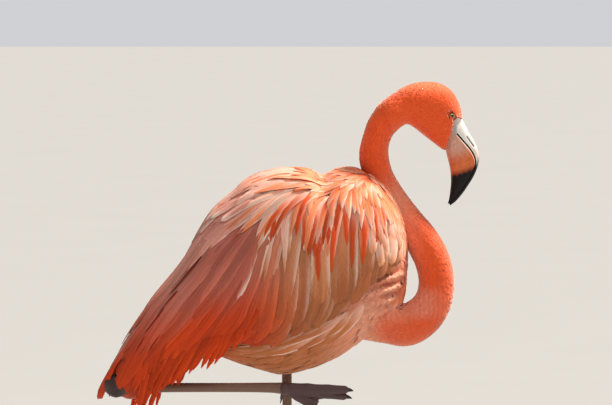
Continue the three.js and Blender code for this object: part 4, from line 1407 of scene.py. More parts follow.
def build_breast_coat():
    """Soft feathers over the breast's folds, the flank and the belly, up under the wing."""
    def keep(p):
        x, z = p[..., 0], p[..., 2]
        return (z < wing_edge(x) + 26) & ~in_neck(p, -5.0) & (x > -168) & (x < 125)

    def ahead(p):
        x, z = p[..., 0], p[..., 2]
        return ((z < wing_edge(x) + 26) | (x > 146)) & ~in_neck(p, -5.0) & (x > 108)
    for side, name in ((RIGHT, "coat_breast_right"), (LEFT, "coat_breast_left")):
        ends = (0.0, math.pi) if side == LEFT else (-math.pi, 0.0)
        roots = scatter(breast_surface, (0.03, 0.9), ends, 10.0, 41 + side, keep)
        coat = Coat(breast_surface, down_the_flank)
        # Roots darkened to 0.8: painted shade under the overlapping feathers.
        coat.lay(roots, mm(sizes().belly_vane), 16.0, "lance",
                 tones(coat_colour, root=lambda p: coat_colour(p) * 0.8,
                       rim=lambda p: lerp(coat_colour(p), hue("pale"), 0.35), strength=0.6, vary=0.12),
                 43 + side, lift=(-5.0, -0.6), turn=0.16, tilt=-0.4 * side, ragged=0.2, spread=0.2)
        roots = scatter(breast_surface, (0.7, 0.965), ends, 5.2, 51 + side, ahead)
        # Roots darkened to 0.85: painted shade under the overlapping down.
        coat.lay(roots, mm(sizes().breast_vane), 9.0, "down",
                 tones(coat_colour, root=lambda p: coat_colour(p) * 0.85,
                       tip=lambda p: lerp(coat_colour(p), hue("pale"), 0.15), vary=0.12),
                 53 + side, lift=(-2.2, -0.3), turn=0.3, tilt=-0.2 * side)
        x = np.array((112.0, 106, 98, 90, 80, 70, 58, 46, 34, 22, 8, -8))
        z = np.array((576.0, 562, 566, 550, 556, 540, 546, 530, 536, 520, 516, 508))
        coat.lay(on_trunk(x, z, side), lerp(74, 92, smooth(110, 40, x)), 19.0, "lance",
                 tones(hue_of("belly", 1.08), root="covert_top", tip="belly", rim="pale", strength=0.9,
                       vary=0.1),
                 47 + side, lift=(-1.5, 0.9), turn=0.1, tilt=-0.6 * side, ragged=0.12, spread=0.2)
        place_coat(name, coat.layers, "body_coat", "body_feathers")


# -------- coat of back and wings
fall_above = through(((-290, 58), (-200, 54), (-120, 42), (-80, 30), (-40, 16), (0, 8), (45, 4),
                      (75, 12), (100, 38), (125, 75), (165, 112)))
fall_beside = through(((-290, 70), (-250, 64), (-200, 56), (-150, 50), (-110, 50), (-80, 55),
                       (-50, 69), (-22, 83), (20, 88), (60, 90), (110, 92), (165, 97)))


fall_edge = through(((-290, 70), (-200, 58), (-150, 48), (-110, 34), (-70, 20), (-20, 24), (40, 36),
                     (110, 46), (165, 60)))


def down_the_wing(p, pa):
    """Feathers of back and wing: back along the mid-line, then down the side, steeper in front,
    and back again along the wing's lower edge."""
    x, z = p[..., 0], p[..., 2]
    share = wing_share(x, z)
    turned = smooth(0.03, lerp(0.45, 0.17, smooth(-70, 50, x)), share)
    angle = lerp(fall_above(x), fall_beside(x), turned)
    return falling(lerp(angle, fall_edge(x), 0.85 * smooth(0.72, 0.98, share)))


def on_wing(x, share, side):
    """Parameters of the wing's surface at x, a share of the way from back to lower edge."""
    x = np.asarray(x, float)
    return x / 100, side * angle_at(x, lerp(back_line(x), wing_edge(x), share))


def row(x_from, x_to, count, share_from, share_to, side, seed, jitter=0.25):
    """Roots in a row along the wing, evenly spaced but for a little jitter."""
    rng = np.random.default_rng(seed)
    t = (np.arange(count) + 0.5 + jitter * (2 * rng.random(count) - 1)) / count
    x = lerp(x_from, x_to, t)
    share = lerp(share_from, share_to, t) + 0.02 * (2 * rng.random(count) - 1)
    return on_wing(x, share, side)


def drop(roots, share_to):
    """Length of a vane from its root down to a share of the wing's depth there."""
    x = 100 * roots[0]
    fall = wing_surface(*roots)[..., 2] - lerp(back_line(x), wing_edge(x), share_to)
    return 1.08 * fall / np.sin(np.radians(fall_beside(x)))


def wing_tone(p):
    """Colour of the broad wing feathers: in front pale above and tan below, partly the coverts' own tan
    and partly painted light, a painted highlight on the tops and painted shade on the lower ends; behind,
    rose to deep red."""
    x, z = p[..., 0], p[..., 2]
    share = wing_share(x, z)[..., None]
    # Paler tops and darker lower ends: partly painted highlight and painted shade over the coverts' own
    # tan.
    front = lerp(hue("covert_top"), hue("covert"), smooth(0.15, 0.5, share))
    front = lerp(front, hue("covert_end"), smooth(0.45, 0.95, share))
    rear = lerp(hue("rose_top"), hue("tertial"), smooth(0.1, 0.35, share))
    low = share + 0.2 * smooth(-90, -170, x)[..., None]
    rear = lerp(rear, hue("plume"), smooth(0.5, 0.85, low))
    rear = lerp(rear, hue("plume"), 0.8 * smooth(-155, -240, x)[..., None])
    return lerp(front, rear, smooth(38, -75, x)[..., None])


def times(colour, factor):
    """A colour function times a factor."""
    return lambda p: colour(p) * factor


def build_wing(side, name):
    """The folded wing: under layer, coverts in rows, hanging scapulars and shoulder feathers."""
    seed = 100 if side == LEFT else 200
    ends = (0.02, 2.4) if side == LEFT else (-2.4, -0.02)

    def between(low, high):
        return lambda p: (wing_share(p[..., 0], p[..., 2]) > low) & (
            wing_share(p[..., 0], p[..., 2]) < high)
    roots = scatter(wing_surface, (-1.2, 1.64), ends, 11.0, seed, between(0.02, 0.88))
    coat = Coat(wing_surface, down_the_wing)
    # The under layer is painted darker than the coverts over it, with darkened red roots: painted shade
    # under the coat.
    coat.lay(roots, 46, 25, "contour",
             tones(times(wing_tone, 0.8), root=hue_of("plume", 0.7), rim=wing_tone),
             seed + 1, lift=(-9.0, -5.0), turn=0.1, ragged=0.1)
    for count, share, reach, wide, lifted, strength in (
            (24, 0.56, 1.06, 25, -2.0, 0.2), (21, 0.36, 1.0, 27, -1.4, 0.4),
            (18, 0.17, 0.88, 26, -0.8, 0.9)):
        roots = row(148, -84, count, share, share, side, seed + count + int(100 * share))
        # Roots darkened to 0.85: painted shade under the row above.
        coat.lay(roots, drop(roots, reach), wide, "covert",
                 tones(wing_tone, root=times(wing_tone, 0.85), rim="pale", strength=strength,
                       vary=0.16),
                 seed + int(50 * share), lift=(lifted - 4, lifted), keep=0.7, turn=0.06,
                 tilt=-1.4 * side, ragged=0.06, spread=0.14)
    roots = row(14, -26, 5, 0.19, 0.23, side, seed + 5, 0.5)
    coat.lay(roots, 88, 15, "lance",
             tones("hump", root="pale", tip="covert", rim="pale", strength=0.8, vary=0.16),
             seed + 6, lift=(-3.2, 0.6), keep=0.6, turn=0.12, tilt=-1.4 * side, ragged=0.3, spread=0.35)
    roots = scatter(wing_surface, (1.18, 1.64), ends, 13.0, seed + 3, between(0.12, 0.5))
    coat.lay(roots, 62, 17, "covert",
             tones("covert_top", root="mantle", tip="covert", rim="pale", vary=0.16),
             seed + 4, lift=(-2.6, 0.4), turn=0.14, tilt=-0.9 * side, ragged=0.1)
    for count, x_from, x_to, share, long, wide, lifted, tone in (
            (9, 136, 24, 0.16, 1.0, 19, 0.6, "scapular"), (10, 146, 14, 0.11, 0.82, 17, 1.4, "scapular"),
            (9, 148, 10, 0.07, 0.66, 15, 2.2, "mantle")):
        roots = row(x_from, x_to, count, share, share * 0.9, side, seed + count + int(1000 * share), 0.45)
        long = mm(sizes().scapular) * long * lerp(0.72, 1.0, smooth(150, 80, 100 * roots[0]))
        # Pale roots and tips darkened to 0.85: partly painted light, a painted highlight on the lit bend
        # from the mantle and painted shade on the hanging ends.
        coat.lay(roots, long, wide, "lance",
                 tones(tone, root="hump", tip=hue_of(tone, 0.85), rim="hump", strength=0.8, vary=0.2),
                 seed + int(500 * share), lift=(lifted - 3.5, lifted), keep=0.75, turn=0.12,
                 tilt=-1.8 * side, ragged=0.05, spread=0.25)
    place_coat(f"coat_wing_{name}", coat.layers, "wing_coat", "wing_feathers", (f"wing_{name}",))


def build_mantle():
    """The silky feathers of the back: long pale ones over the hump, long orange strands that
    sweep back from the mantle, and short loose feathers on its mound."""
    def upper(limit, x_from, x_to):
        def keep(p):
            x = p[..., 0]
            return (wing_share(x, p[..., 2]) < limit) & (x > x_from) & (x < x_to) & ~in_neck(p, -4.0)
        return keep

    def beside(seed, count, x_from, x_to, share_from, share_to):
        pair = [row(x_from, x_to, count, share_from, share_to, side, seed + side, 0.45)
                for side in (LEFT, RIGHT)]
        return [np.concatenate(both) for both in zip(*pair)]

    def silk(p):
        return lerp(hue("hump"), hue("rose_top"), (0.8 * smooth(10, -90, p[..., 0]))[..., None])
    long = mm(sizes().mantle_vane)
    roots = scatter(wing_surface, (-1.1, 0.6), (-1.7, 1.7), 11.5, 301, upper(0.17, -105, 52))
    coat = Coat(wing_surface, down_the_wing)
    coat.lay(roots, long * 1.6, 17, "lance",
             tones(silk, root=lambda p: silk(p) * np.array((1.0, 0.8, 0.7)), tip=times(silk, 1.1),
                   rim="pale", strength=0.5, vary=0.12),
             302, lift=(-3.0, 0.2), keep=0.6, turn=0.1, ragged=0.06)
    roots = scatter(wing_surface, (-0.9, 0.5), (-1.3, 1.3), 40.0, 303, upper(0.14, -90, 48))
    coat.lay(roots, long * 1.7, 12, "lance",
             tones("mantle", root="scapular", rim="pale", vary=0.2),
             304, lift=(-2.0, 0.8), keep=0.6, turn=0.1, ragged=0.06)
    for count, share, reach, lifted, tone in (
            (6, 0.19, 1.4, 0.3, "scapular"), (7, 0.13, 1.9, 0.7, "mantle"), (6, 0.07, 2.1, 1.1, "hump")):
        roots = beside(310 + count + int(100 * share), count, 70, -12, share, share * 0.9)
        coat.lay(roots, long * reach, 15, "lance",
                 tones(tone, root="mantle", tip=hue_of(tone, 0.9), rim="pale", strength=0.8, vary=0.18),
                 320 + int(100 * share), lift=(lifted - 3.5, lifted), keep=0.75, turn=0.08, ragged=0.06)
    roots = scatter(wing_surface, (0.5, 1.7), (-1.5, 1.5), 9.5, 331, upper(0.1, 52, 172))
    coat.lay(roots, long * 1.15, 14, "lance",
             tones("mantle", root="scapular", rim="hump", strength=0.7, vary=0.12),
             332, lift=(-2.0, 1.2), keep=0.6, turn=0.14, ragged=0.08)
    roots = scatter(wing_surface, (0.55, 1.66), (-1.9, 1.9), 9.5, 335, upper(0.17, 58, 166))
    at = wing_surface(*roots)
    low = smooth(0.02, 0.17, wing_share(at[..., 0], at[..., 2]))
    coat.lay(roots, long * lerp(0.55, 1.3, low), lerp(12, 16, low), "lance",
             tones(hue_of("mantle", 1.05), root=hue_of("scapular", 1.1), tip="hump", rim="pale",
                   strength=0.8, vary=0.16),
             336, lift=(-1.2, 2.0), keep=0.6, turn=0.22, ragged=0.2, spread=0.35)
    place_coat("coat_mantle", coat.layers, "wing_coat", "wing_feathers")


def build_tertials(side, name):
    """The long feathers that lie back over the folded wing's end."""
    seed = 400 if side == LEFT else 500
    ends = (0.03, 2.3) if side == LEFT else (-2.3, -0.03)
    roots = scatter(wing_surface, (-2.4, -0.5), ends, 15.0, seed,
                    lambda p: wing_share(p[..., 0], p[..., 2]) < 0.93)
    coat = Coat(wing_surface, down_the_wing)
    # The under layer is painted darker than the feathers over it, with darkened red roots: painted shade
    # under the coat.
    coat.lay(roots, 74, 24, "covert",
             tones(times(wing_tone, 0.85), root=hue_of("plume", 0.7), rim=wing_tone),
             seed + 1, lift=(-4.5, -2.0), turn=0.06, ragged=0.08, keep=0.7)
    for count, start, end, share, long, wide, lifted in (
            (15, 0, -130, 0.72, 0.55, 20, -0.6), (14, -5, -135, 0.5, 0.78, 21, 0.3),
            (12, -20, -140, 0.28, 0.94, 22, 1.1), (9, -30, -145, 0.1, 1.0, 20, 1.9)):
        roots = row(start, end, count, share, share * 0.8, side, seed + count, 0.35)
        x = 100 * roots[0]
        room = np.minimum(mm(sizes().tertial) * long, 1.04 * (x - WING_TIP) / np.cos(np.radians(55)))
        room = np.minimum(room, drop(roots, 1.0) * lerp(1.0, 1.6, smooth(-40, -130, x)))
        # Roots darkened to 0.9: painted shade under the overlapping quills.
        coat.lay(roots, room, wide, "quill",
                 tones(wing_tone, root=times(wing_tone, 0.9), rim=times(wing_tone, 1.5), strength=0.6,
                       vary=0.2),
                 seed + 2 + count, lift=(lifted - 3.5, lifted), keep=0.8, turn=0.08, tilt=-1.8 * side,
                 ragged=0.16, wave=0.5, spread=0.2)
    # Painted shade: narrow deep red lances laid where the rear feathers part, standing for the shaded gaps
    # between them, their roots darker still.
    for count, start, end, share, lifted in ((5, -120, -205, 0.2, 2.4), (4, -150, -215, 0.36, 2.2)):
        roots = row(start, end, count, share, share, side, seed + 20 + count, 0.4)
        coat.lay(roots, 70, 9, "lance",
                 tones("deep", rim="plume", vary=0.2),
                 seed + 30 + count, lift=(-1.0, lifted), keep=0.8, turn=0.1, tilt=1.5, ragged=0.1)
    roots = row(-48, -100, 4, 0.12, 0.05, side, seed + 9, 0.3)
    coat.lay(roots, 58, 17, "covert",
             tones("rose_top", tip="pale", rim="pale", vary=0.1),
             seed + 10, lift=(-0.5, 3.2), keep=0.7, turn=0.15, tilt=1.5, ragged=0.12, curl=1.5)
    place_coat(f"coat_tertials_{name}", coat.layers, "wing_coat", "wing_feathers", (f"tertials_{name}",))


def curtain(side):
    """A sheet that hangs straight down from the wing's widest line: a along it, b upward."""
    def surface(a, b):
        x, z = -side * 100 * np.asarray(a), 100 * np.asarray(b)
        top, bottom, half = wing_section(x)
        middle = lerp(top, bottom, WIDEST_SHARE)
        up = np.clip((z - middle) / (top - middle), 0, 0.98)
        y = half * signed_power(1 - up ** FULLNESS, 1 / FULLNESS) + 1.5
        return stacked(x, side * y, z)
    return surface


def build_plumes(side, name):
    """Drooping plumes with frayed ends along the wing's rear lower edge."""
    seed = 600 if side == LEFT else 700
    coat = Coat(wing_surface, down_the_plumes)
    # Roots darkened to 0.85: painted shade where the plumes lie under one another; the tips and frayed
    # rims are paler.
    reds = tones("plume", root=hue_of("plume", 0.85), tip=hue_of("plume", 1.1),
                 rim=hue_of("plume", 1.45), vary=0.22)
    for count, start, end, long, lifted in (
            (16, (-70.0, 538.0), (-182.0, 504.0), 0.4, -3.0),
            (12, (-120.0, 530.0), (-200.0, 510.0), 0.56, -1.6),
            (8, (-172.0, 506.0), (-212.0, 504.0), 0.68, -0.4)):
        rng = np.random.default_rng(seed + 50 + count)
        t = (np.arange(count) + 0.5 + 0.4 * (2 * rng.random(count) - 1)) / count
        x, z = lerp(start[0], end[0], t), lerp(start[1], end[1], t)
        long = 16 + mm(sizes().plume) * long * lerp(0.5, 1.0, smooth(-60, -150, x))
        coat.lay((-side * x / 100, z / 100), long, 12, "plume", reds, seed + 60 + count,
                 surface=curtain(side), lift=(lifted - 9.0, lifted), keep=0.85, turn=0.12,
                 tilt=-1.0 * side, ragged=0.35, spread=0.2)
        x, z = 100 * coat.layers[-1]["roots"].T * np.array(((-side,), (1,)))
        coat.layers[-1]["roots"] = np.stack((x / 100, side * angle_at(x, z)), 1)
    for count, start, end, share, long, wide, lifted in (
            (20, -36, -170, 0.74, 0.6, 14, 0.2), (13, -110, -205, 0.6, 0.7, 12, 1.0),
            (7, -170, -214, 0.4, 0.7, 12, 1.8)):
        roots = row(start, end, count, share, share, side, seed + count, 0.35)
        coat.lay(roots, mm(sizes().plume) * long, wide, "plume", reds, seed + 2 + count,
                 lift=(lifted - 2.5, lifted), keep=0.85, turn=0.09, tilt=-1.2 * side, ragged=0.35,
                 spread=0.18)
    place_coat(f"coat_plumes_{name}", coat.layers, "plume_coat", "plume_feathers", (f"plumes_{name}",))


def down_the_plumes(p, pa):
    """Plumes droop more steeply than the feathers above them."""
    return falling(lerp(62, 72, smooth(-120, -220, p[..., 0])))


# -------- tail
def tail_surface(t, a):
    """The tail's upper face: t runs from tip to root and a across it, a little arched."""
    root, tip = np.array((-166.0, 545.0)), np.array((-257.0, 484.0))
    x, z = lerp(tip[0], root[0], t), lerp(tip[1], root[1], t)
    return stacked(x, 24 * a, z - 6 * a ** 2)


def build_tail():
    """Ten straight tail feathers under the wings' end."""
    b = np.linspace(-0.75, 0.75, 10)
    roots = (np.full(10, 0.98), b)
    layer = lay(tail_surface, roots, 104, 17, down_the_parameter, "quill",
                tones("plume", root="belly", rim=hue_of("plume", 1.2)), 801,
                lift=(-2.0, 1.0), turn=0.02, keep=0.9, tilt=0.8)
    place_coat("coat_tail", [layer], "plume_coat", "plume_feathers", ("tail",))


# -------- bill
NOSTRIL = ((262.5, 816.0), (273.0, 801.5))  # both ends of the slit in the head's plane
NOSTRIL_HALF_WIDTH, NOSTRIL_DEPTH = 1.5, 1.8


def along_segment(h, ends):
    """Distance in the head's plane from a line between two places."""
    start, end = np.array(ends[0]), np.array(ends[1])
    way = end - start
    relative = h[..., (0, 2)] - start
    t = np.clip(relative @ way / (way @ way), 0, 1)
    return np.linalg.norm(relative - t[..., None] * way, axis=-1)


def upper_bill_surface(t, a):
    """The upper bill between culmen and mouth line; its widest place is near the mouth."""
    cx, cz, mx, mz, _, _, half, _ = (c(t) for c in BILL_CURVES)
    return slanted_oval(cx, cz, mx, mz, half, 0.93, BILL_POWER, a)


def lower_bill_surface(t, a):
    """The lower bill between mouth line and lower edge; its widest place is near the mouth."""
    _, _, mx, mz, lx, lz, _, half = (c(t) for c in BILL_CURVES)
    way = np.hypot(lx - mx, lz - mz)
    mx, mz = mx + (lx - mx) / way * MOUTH_GAP, mz + (lz - mz) / way * MOUTH_GAP
    return slanted_oval(mx, mz, lx, lz, half, 0.1, BILL_POWER, a)


BILL_PLACES, BILL_COLUMNS = np.linspace(-0.035, 1.0, 150), 84


def from_mouth_line(h):
    """Distance in the head's plane of the points of a half of the bill from the mouth line."""
    t = np.concatenate((np.repeat(BILL_PLACES, BILL_COLUMNS), (0.0, 1.0)))
    return np.hypot(h[:, 0] - BILL_CURVES[2](t), h[:, 2] - BILL_CURVES[3](t))[:, None]


def build_upper_bill():
    """The upper bill with its slit nostrils, pale at the base, grey and black at the tip."""
    h = to_head(rings(upper_bill_surface, BILL_PLACES, BILL_COLUMNS))
    slit = along_segment(h, NOSTRIL)
    dent = NOSTRIL_DEPTH * (1 - smooth(0.4, NOSTRIL_HALF_WIDTH, slit)) * (np.abs(h[..., 1]) > 4)
    h[..., 1] -= np.sign(h[..., 1]) * dent
    points, faces = tube(from_head(h[..., 0], h[..., 1], h[..., 2]))
    h = to_head(points)
    z = h[:, 2:3]
    tint = lerp(hue("bill_base"), hue("bill_flesh") * 1.1, smooth(806, 788, z) * 0.55)
    tint = lerp(tint, np.array((0.16, 0.16, 0.18)), smooth(789, 778, z))
    tint = lerp(tint, hue("bill_tip"), smooth(778, 768, z))
    # The pale stripe along the upper bill's lower edge is partly its own pale edge and partly painted
    # light that lifts the shade where the side turns under; the dark line below it is a painted shadow
    # along the mouth gap.
    from_mouth = from_mouth_line(h)
    stripe = smooth(3.2, 2.2, from_mouth) * smooth(772, 784, z)
    tint = lerp(tint, np.array((0.9, 0.88, 0.84)), stripe)
    tint = lerp(tint, hue("bill_tip") * 2, 0.85 * smooth(0.9, 0.4, from_mouth))
    # The slit is painted dark red: painted shade inside the nostril's opening.
    inside = (1 - smooth(0.3, 1.3, along_segment(h, NOSTRIL)))[:, None] * (np.abs(h[:, 1:2]) > 3)
    tint = lerp(tint, np.array((0.16, 0.02, 0.015)), inside)
    tinted_piece("upper_bill_horn", points, faces, tint, "bill_horn", "bill_pale", ("upper_bill",))


def build_lower_bill():
    """The deep lower bill: pink at the base, orange, then black, with a pale rim at the mouth."""
    points, faces = tube(rings(lower_bill_surface, BILL_PLACES, BILL_COLUMNS))
    h = to_head(points)
    x, z = h[:, 0:1], h[:, 2:3]
    mottle = np.sin(0.9 * x + 2.2 * np.sin(0.23 * z)) * np.sin(0.37 * z + 1.7 * np.sin(0.31 * x))
    tint = lerp(hue("bill_flesh"), hue("bill_orange"), smooth(802, 776, z + 0.4 * (250 - x)))
    tint = tint * (1 + mottle * np.array((0.1, 0.16, 0.16)))
    rim = (1 - smooth(2.2, 3.6, from_mouth_line(h))) * smooth(768, 776, z)
    tint = lerp(tint, hue("bill_base") * np.array((1.0, 0.92, 0.82)), rim * 0.85)
    border = 756.5 + 0.36 * (x - 243) + 1.3 * mottle
    tint = lerp(tint, hue("bill_orange") * np.array((0.4, 0.3, 0.3)), smooth(border + 9, border, z))
    tint = lerp(tint, hue("bill_tip"), smooth(border + 2.5, border - 2.0, z))
    tinted_piece("lower_bill_horn", points, faces, tint, "bill_horn", "bill_dark", ("lower_bill",))


# -------- eyes
IRIS_RADIUS, PUPIL_RADIUS, LID_RADIUS, LID_THICKNESS = 4.9, 2.1, 5.2, 0.85


def build_eye(side, name):
    """A ball with a pale iris, a small pupil and a clear gloss, and its lids."""
    polar = np.linspace(0.02, math.pi - 0.02, 40)
    turn = circle(48)
    pole, across = crossed(polar, turn)
    off = EYE_RADIUS * np.sin(pole)
    out = EYE_RADIUS * np.cos(pole)
    points, faces = tube(from_head(EYE_AT[0] + off * np.cos(across), side * (EYE_ACROSS + out),
                                   EYE_AT[1] + off * np.sin(across) * side)[::-1])
    place_in_head = to_head(points)
    from_axis = eye_distance(place_in_head)[:, None]
    outward = (side * place_in_head[:, 1:2] > EYE_ACROSS)
    dark = np.array((0.012, 0.009, 0.008))
    tint = lerp(dark, hue("iris"), smooth(PUPIL_RADIUS - 0.15, PUPIL_RADIUS + 0.15, from_axis))
    tint = lerp(tint, hue("iris") * 0.4, smooth(IRIS_RADIUS - 0.8, IRIS_RADIUS + 0.2, from_axis))
    tinted_piece(f"eye_{name}_ball", points, faces, np.where(outward, tint, dark), "eye_gloss", "eye",
                 (f"eye_{name}",))
    ring, round_it = crossed(circle(64), circle(16))
    thick = LID_THICKNESS * (1 + 0.25 * np.cos(2 * ring))
    reach = LID_RADIUS + thick * np.cos(round_it)
    x = EYE_AT[0] + 1.08 * reach * np.cos(ring)
    z = EYE_AT[1] + 0.92 * reach * np.sin(ring)
    y = EYE_ACROSS + math.sqrt(EYE_RADIUS ** 2 - LID_RADIUS ** 2) + 0.3 + 0.8 * thick * np.sin(round_it)
    grid = from_head(x, side * y, z)
    i, j = crossed(np.arange(64), np.arange(16))
    k, m = (j + 1) % 16, (i + 1) % 64
    quads = np.stack((i * 16 + j, i * 16 + k, m * 16 + k, m * 16 + j), -1).reshape(-1, 4)
    tinted_piece(f"lids_{name}", grid.reshape(-1, 3), [quads if side == RIGHT else quads[:, ::-1]],
                 hue("neck") * np.array((0.45, 0.5, 0.7)), "skin", "body_feathers")


# -------- legs
def limb_curves(stations):
    """Curves of centre and half sizes of a limb over 0 to 1 of its length, and that length."""
    table = np.array(stations, float)
    way = way_along(table[:, :3])
    share = way / way[-1]
    return [through(list(zip(share, column))) for column in table.T], way[-1]


def plates(way, pitch, power):
    """Rows of plates along a limb: 1 on a plate and 0 in the groove between two."""
    return 1 - np.abs(2 * ((way / pitch) % 1) - 1) ** power


def scute_height(s, a, pitch):
    """Height of leg scales: wide plates in front and behind, small round ones at the sides."""
    front = smooth(0.25, 0.5, np.cos(a) ** 2)
    small = np.abs(np.sin(s * math.pi / (pitch * 0.45)) * np.sin(a * 9)) ** 0.6
    return 0.42 * plates(s, pitch, 7) * front + 0.3 * small * (1 - front)


def limb_rings(stations, step, columns, pitch):
    """Rings of points round a limb, with its scales raised."""
    (cx, cy, cz, depth, width), reach = limb_curves(stations)
    s, a = crossed(np.linspace(0, 1, int(reach / step)), circle(columns))
    grow = scute_height(s * reach, a, pitch) - 0.35
    return tube_point((cx, cy, cz), depth(s) + grow, width(s) + grow, s, a)


def leg_tint(points):
    """Grey-brown scales, darker and redder at the knee and dark at the raised leg's ankle."""
    x, z = points[:, 0:1], points[:, 2:3]
    knee = bell(z, 272, 22) * (np.abs(x) < 40)
    raised = bell(x, -262, 24) * (z > 380)
    tint = lerp(np.broadcast_to(hue("leg"), points.shape), hue("foot") * 0.8, knee * 0.75)
    return lerp(tint, hue("foot") * 0.4, raised * 0.95)


def build_legs():
    """The standing leg in one length and the raised leg in two, bent at the ankle."""
    for name, parts in (("left", (STANDING_LEG,)), ("right", (RAISED_SHANK, RAISED_TARSUS))):
        points, faces = joined([tube(limb_rings(stations, 1.1, 36, 5.2)) for stations in parts])
        tinted_piece(f"leg_{name}_scales", points, faces, leg_tint(points), "scaly_leg", "leg_scales",
                     (f"shank_{name}", f"tarsus_{name}"))


# -------- feet
def toe_swell(share):
    """A toe's size along its length: joints stand out and the tip is rounded off."""
    joints = 0.1 * (bell(share, 0.36, 0.07) + bell(share, 0.68, 0.07))
    return lerp(1, TOE_TIP, share) * (1 + joints) * (1 - 0.45 * smooth(0.93, 1.0, share) ** 2)


def floor_toe(angle, reach, size):
    """A toe lying on the floor: arches across its line with a flat side below, scales on top."""
    s, a = crossed(np.linspace(0, 1, int(reach / 0.7)), np.linspace(0, math.pi, 17))
    swell = toe_swell(s) * size
    scales = 0.35 * plates(s * reach, 3.2, 6) * np.sin(a) ** 2
    across = TOE_HALF_WIDTH * swell * np.cos(a)
    up = (TOE_HEIGHT * swell - 0.3 + scales) * np.sin(a)
    c, d = math.cos(math.radians(angle)), math.sin(math.radians(angle))
    return tube(stacked(c * s * reach - d * across, d * s * reach + c * across, up)[:, ::-1])


def floor_web():
    """The web from toe to toe as one closed plate: its edge is drawn in, its top has low folds."""
    spans = ((TOES[2], TOES[0]), (TOES[0], TOES[1]))
    outer = []
    for first, second in spans:
        t = np.linspace(0, 1, 40)
        turn = np.radians(lerp(first[0], second[0], t))
        reach = lerp(first[1], second[1], t) * WEB_SHARE * (1 - WEB_DIP * np.sin(math.pi * t))
        outer.append(np.stack((turn, reach)))
    turn, reach = np.concatenate((outer[0], outer[1][:, 1:]), 1)
    share = np.linspace(0.02, 1, 30)[:, None]
    fold = 0.35 * np.sin(turn * 42)[None, :] * share
    x, y = share * reach * np.cos(turn), share * reach * np.sin(turn)
    top = stacked(x, y, WEB_HEIGHT - 0.9 * share ** 2 + fold)
    bottom = stacked(x, y, np.zeros_like(x))
    loop = np.concatenate((top, bottom[:, ::-1]), 1)
    return tube(loop[:, ::-1])


def floor_pad():
    """A low dome under the leg: rings of a quarter circle over a flat sole."""
    rise = np.concatenate(((-0.35,), np.linspace(0.0, math.pi / 2 - 0.03, 14)))
    turn = circle(40)
    radius = np.where(rise < 0, 3.0, PAD_RADIUS * np.cos(rise))
    height = np.where(rise < 0, 0.0, PAD_HEIGHT * np.sin(rise))
    ring = stacked(radius[:, None] * np.cos(turn), radius[:, None] * np.sin(turn), height[:, None])
    return tube(ring)


def air_toe(end, depth, width):
    """A toe of the raised foot from its joint to its end, with scales round it."""
    s, a = crossed(np.linspace(0, 1, 90), circle(20))
    start, end = np.array(RAISED_FOOT_AT, float), np.array(end, float)
    along = unit(end - start)
    up = unit(np.cross(along, (0.0, 1.0, 0.0)))
    side = np.cross(up, along)
    swell = toe_swell(s) / lerp(1, TOE_TIP, s) * lerp(1, 0.66, s)
    reach = np.linalg.norm(end - start)
    scales = 0.3 * plates(s * reach, 3.4, 6) - 0.2
    rim = (up * ((depth * swell + scales) * np.cos(a))[..., None]
           + side * ((width * swell + scales) * np.sin(a))[..., None])
    return tube(start + (end - start) * s[..., None] + rim)


def air_web(first, second):
    """The folded web between two hanging toes: a sheet between their lines with waves in it."""
    root = np.array(RAISED_FOOT_AT, float)
    s = np.linspace(0.0, 0.84, 40)[:, None]
    t = np.linspace(0, 1, 30)[None, :]
    reach = s * (1 - 0.25 * np.sin(math.pi * t))
    one = root + (np.array(first, float) - root) * reach[..., None]
    two = root + (np.array(second, float) - root) * reach[..., None]
    sheet = lerp(one, two, np.broadcast_to(t, reach.shape)[..., None])
    wave = 1.5 * np.sin(t * math.pi * 5) * smooth(0.1, 0.6, s)
    near = sheet + stacked(0.0, wave - 1.0, 0.0)
    far = sheet + stacked(0.0, wave + 1.0, 0.0)
    loop = np.concatenate((near, far[:, ::-1]), 1)
    return tube(loop)


def build_feet():
    """Both feet, each fused into one scaly skin: toes, web and pad of the standing foot, toes, webs and
    knuckle of the raised one.
    """
    floor_parts = [floor_pad(), floor_web()] + [floor_toe(*toe) for toe in TOES]
    ball = np.linspace(0.05, math.pi - 0.05, 16)
    turn = circle(24)
    knuckle = stacked(RAISED_FOOT_AT[0] - 10 * np.cos(ball)[:, None],
                      RAISED_FOOT_AT[1] + 10 * np.sin(ball)[:, None] * np.sin(turn),
                      RAISED_FOOT_AT[2] - 10 * np.sin(ball)[:, None] * np.cos(turn))
    air_parts = [tube(knuckle), air_web(RAISED_TOES[0][:3], RAISED_TOES[1][:3]),
                 air_web(RAISED_TOES[1][:3], RAISED_TOES[2][:3])]
    air_parts += [air_toe(toe[:3], toe[3], toe[4]) for toe in RAISED_TOES]
    for name, parts in (("left", floor_parts), ("right", air_parts)):
        mesh = fused(f"foot_{name}_scales", parts, 0.0008, 1)
        p = mesh_points(mesh)
        p[:, 2] = np.maximum(p[:, 2], 0.0)
        mesh.vertices.foreach_set("co", (p * MM).astype(np.float32).ravel())
        put_colour(mesh, "tint", np.broadcast_to(hue("foot"), p.shape))
        place(f"foot_{name}_scales", mesh, "webbed_foot", "foot_skin", (f"foot_{name}",))


def claw_tube(start, along, height, width, low):
    """A small curved claw: shrinking ovals along a line that bends down to its point."""
    s, a = crossed(np.linspace(0, 1, 14), circle(14))
    along = unit(np.array(along, float))
    side = unit(np.cross((0.0, 0.0, 1.0), along))
    up = np.cross(along, side)
    taper = np.maximum((1 - s ** 1.6) ** 0.8, 0.06)
    rise = height * taper * (np.cos(a) + (1 if low else 0))
    centre = np.array(start, float) + along * s[..., None] * CLAW_LENGTH
    centre[..., 2] -= 0.0 if low else 1.6 * s ** 2
    return tube(centre + up * rise[..., None] + side * (width * taper * np.sin(a))[..., None])


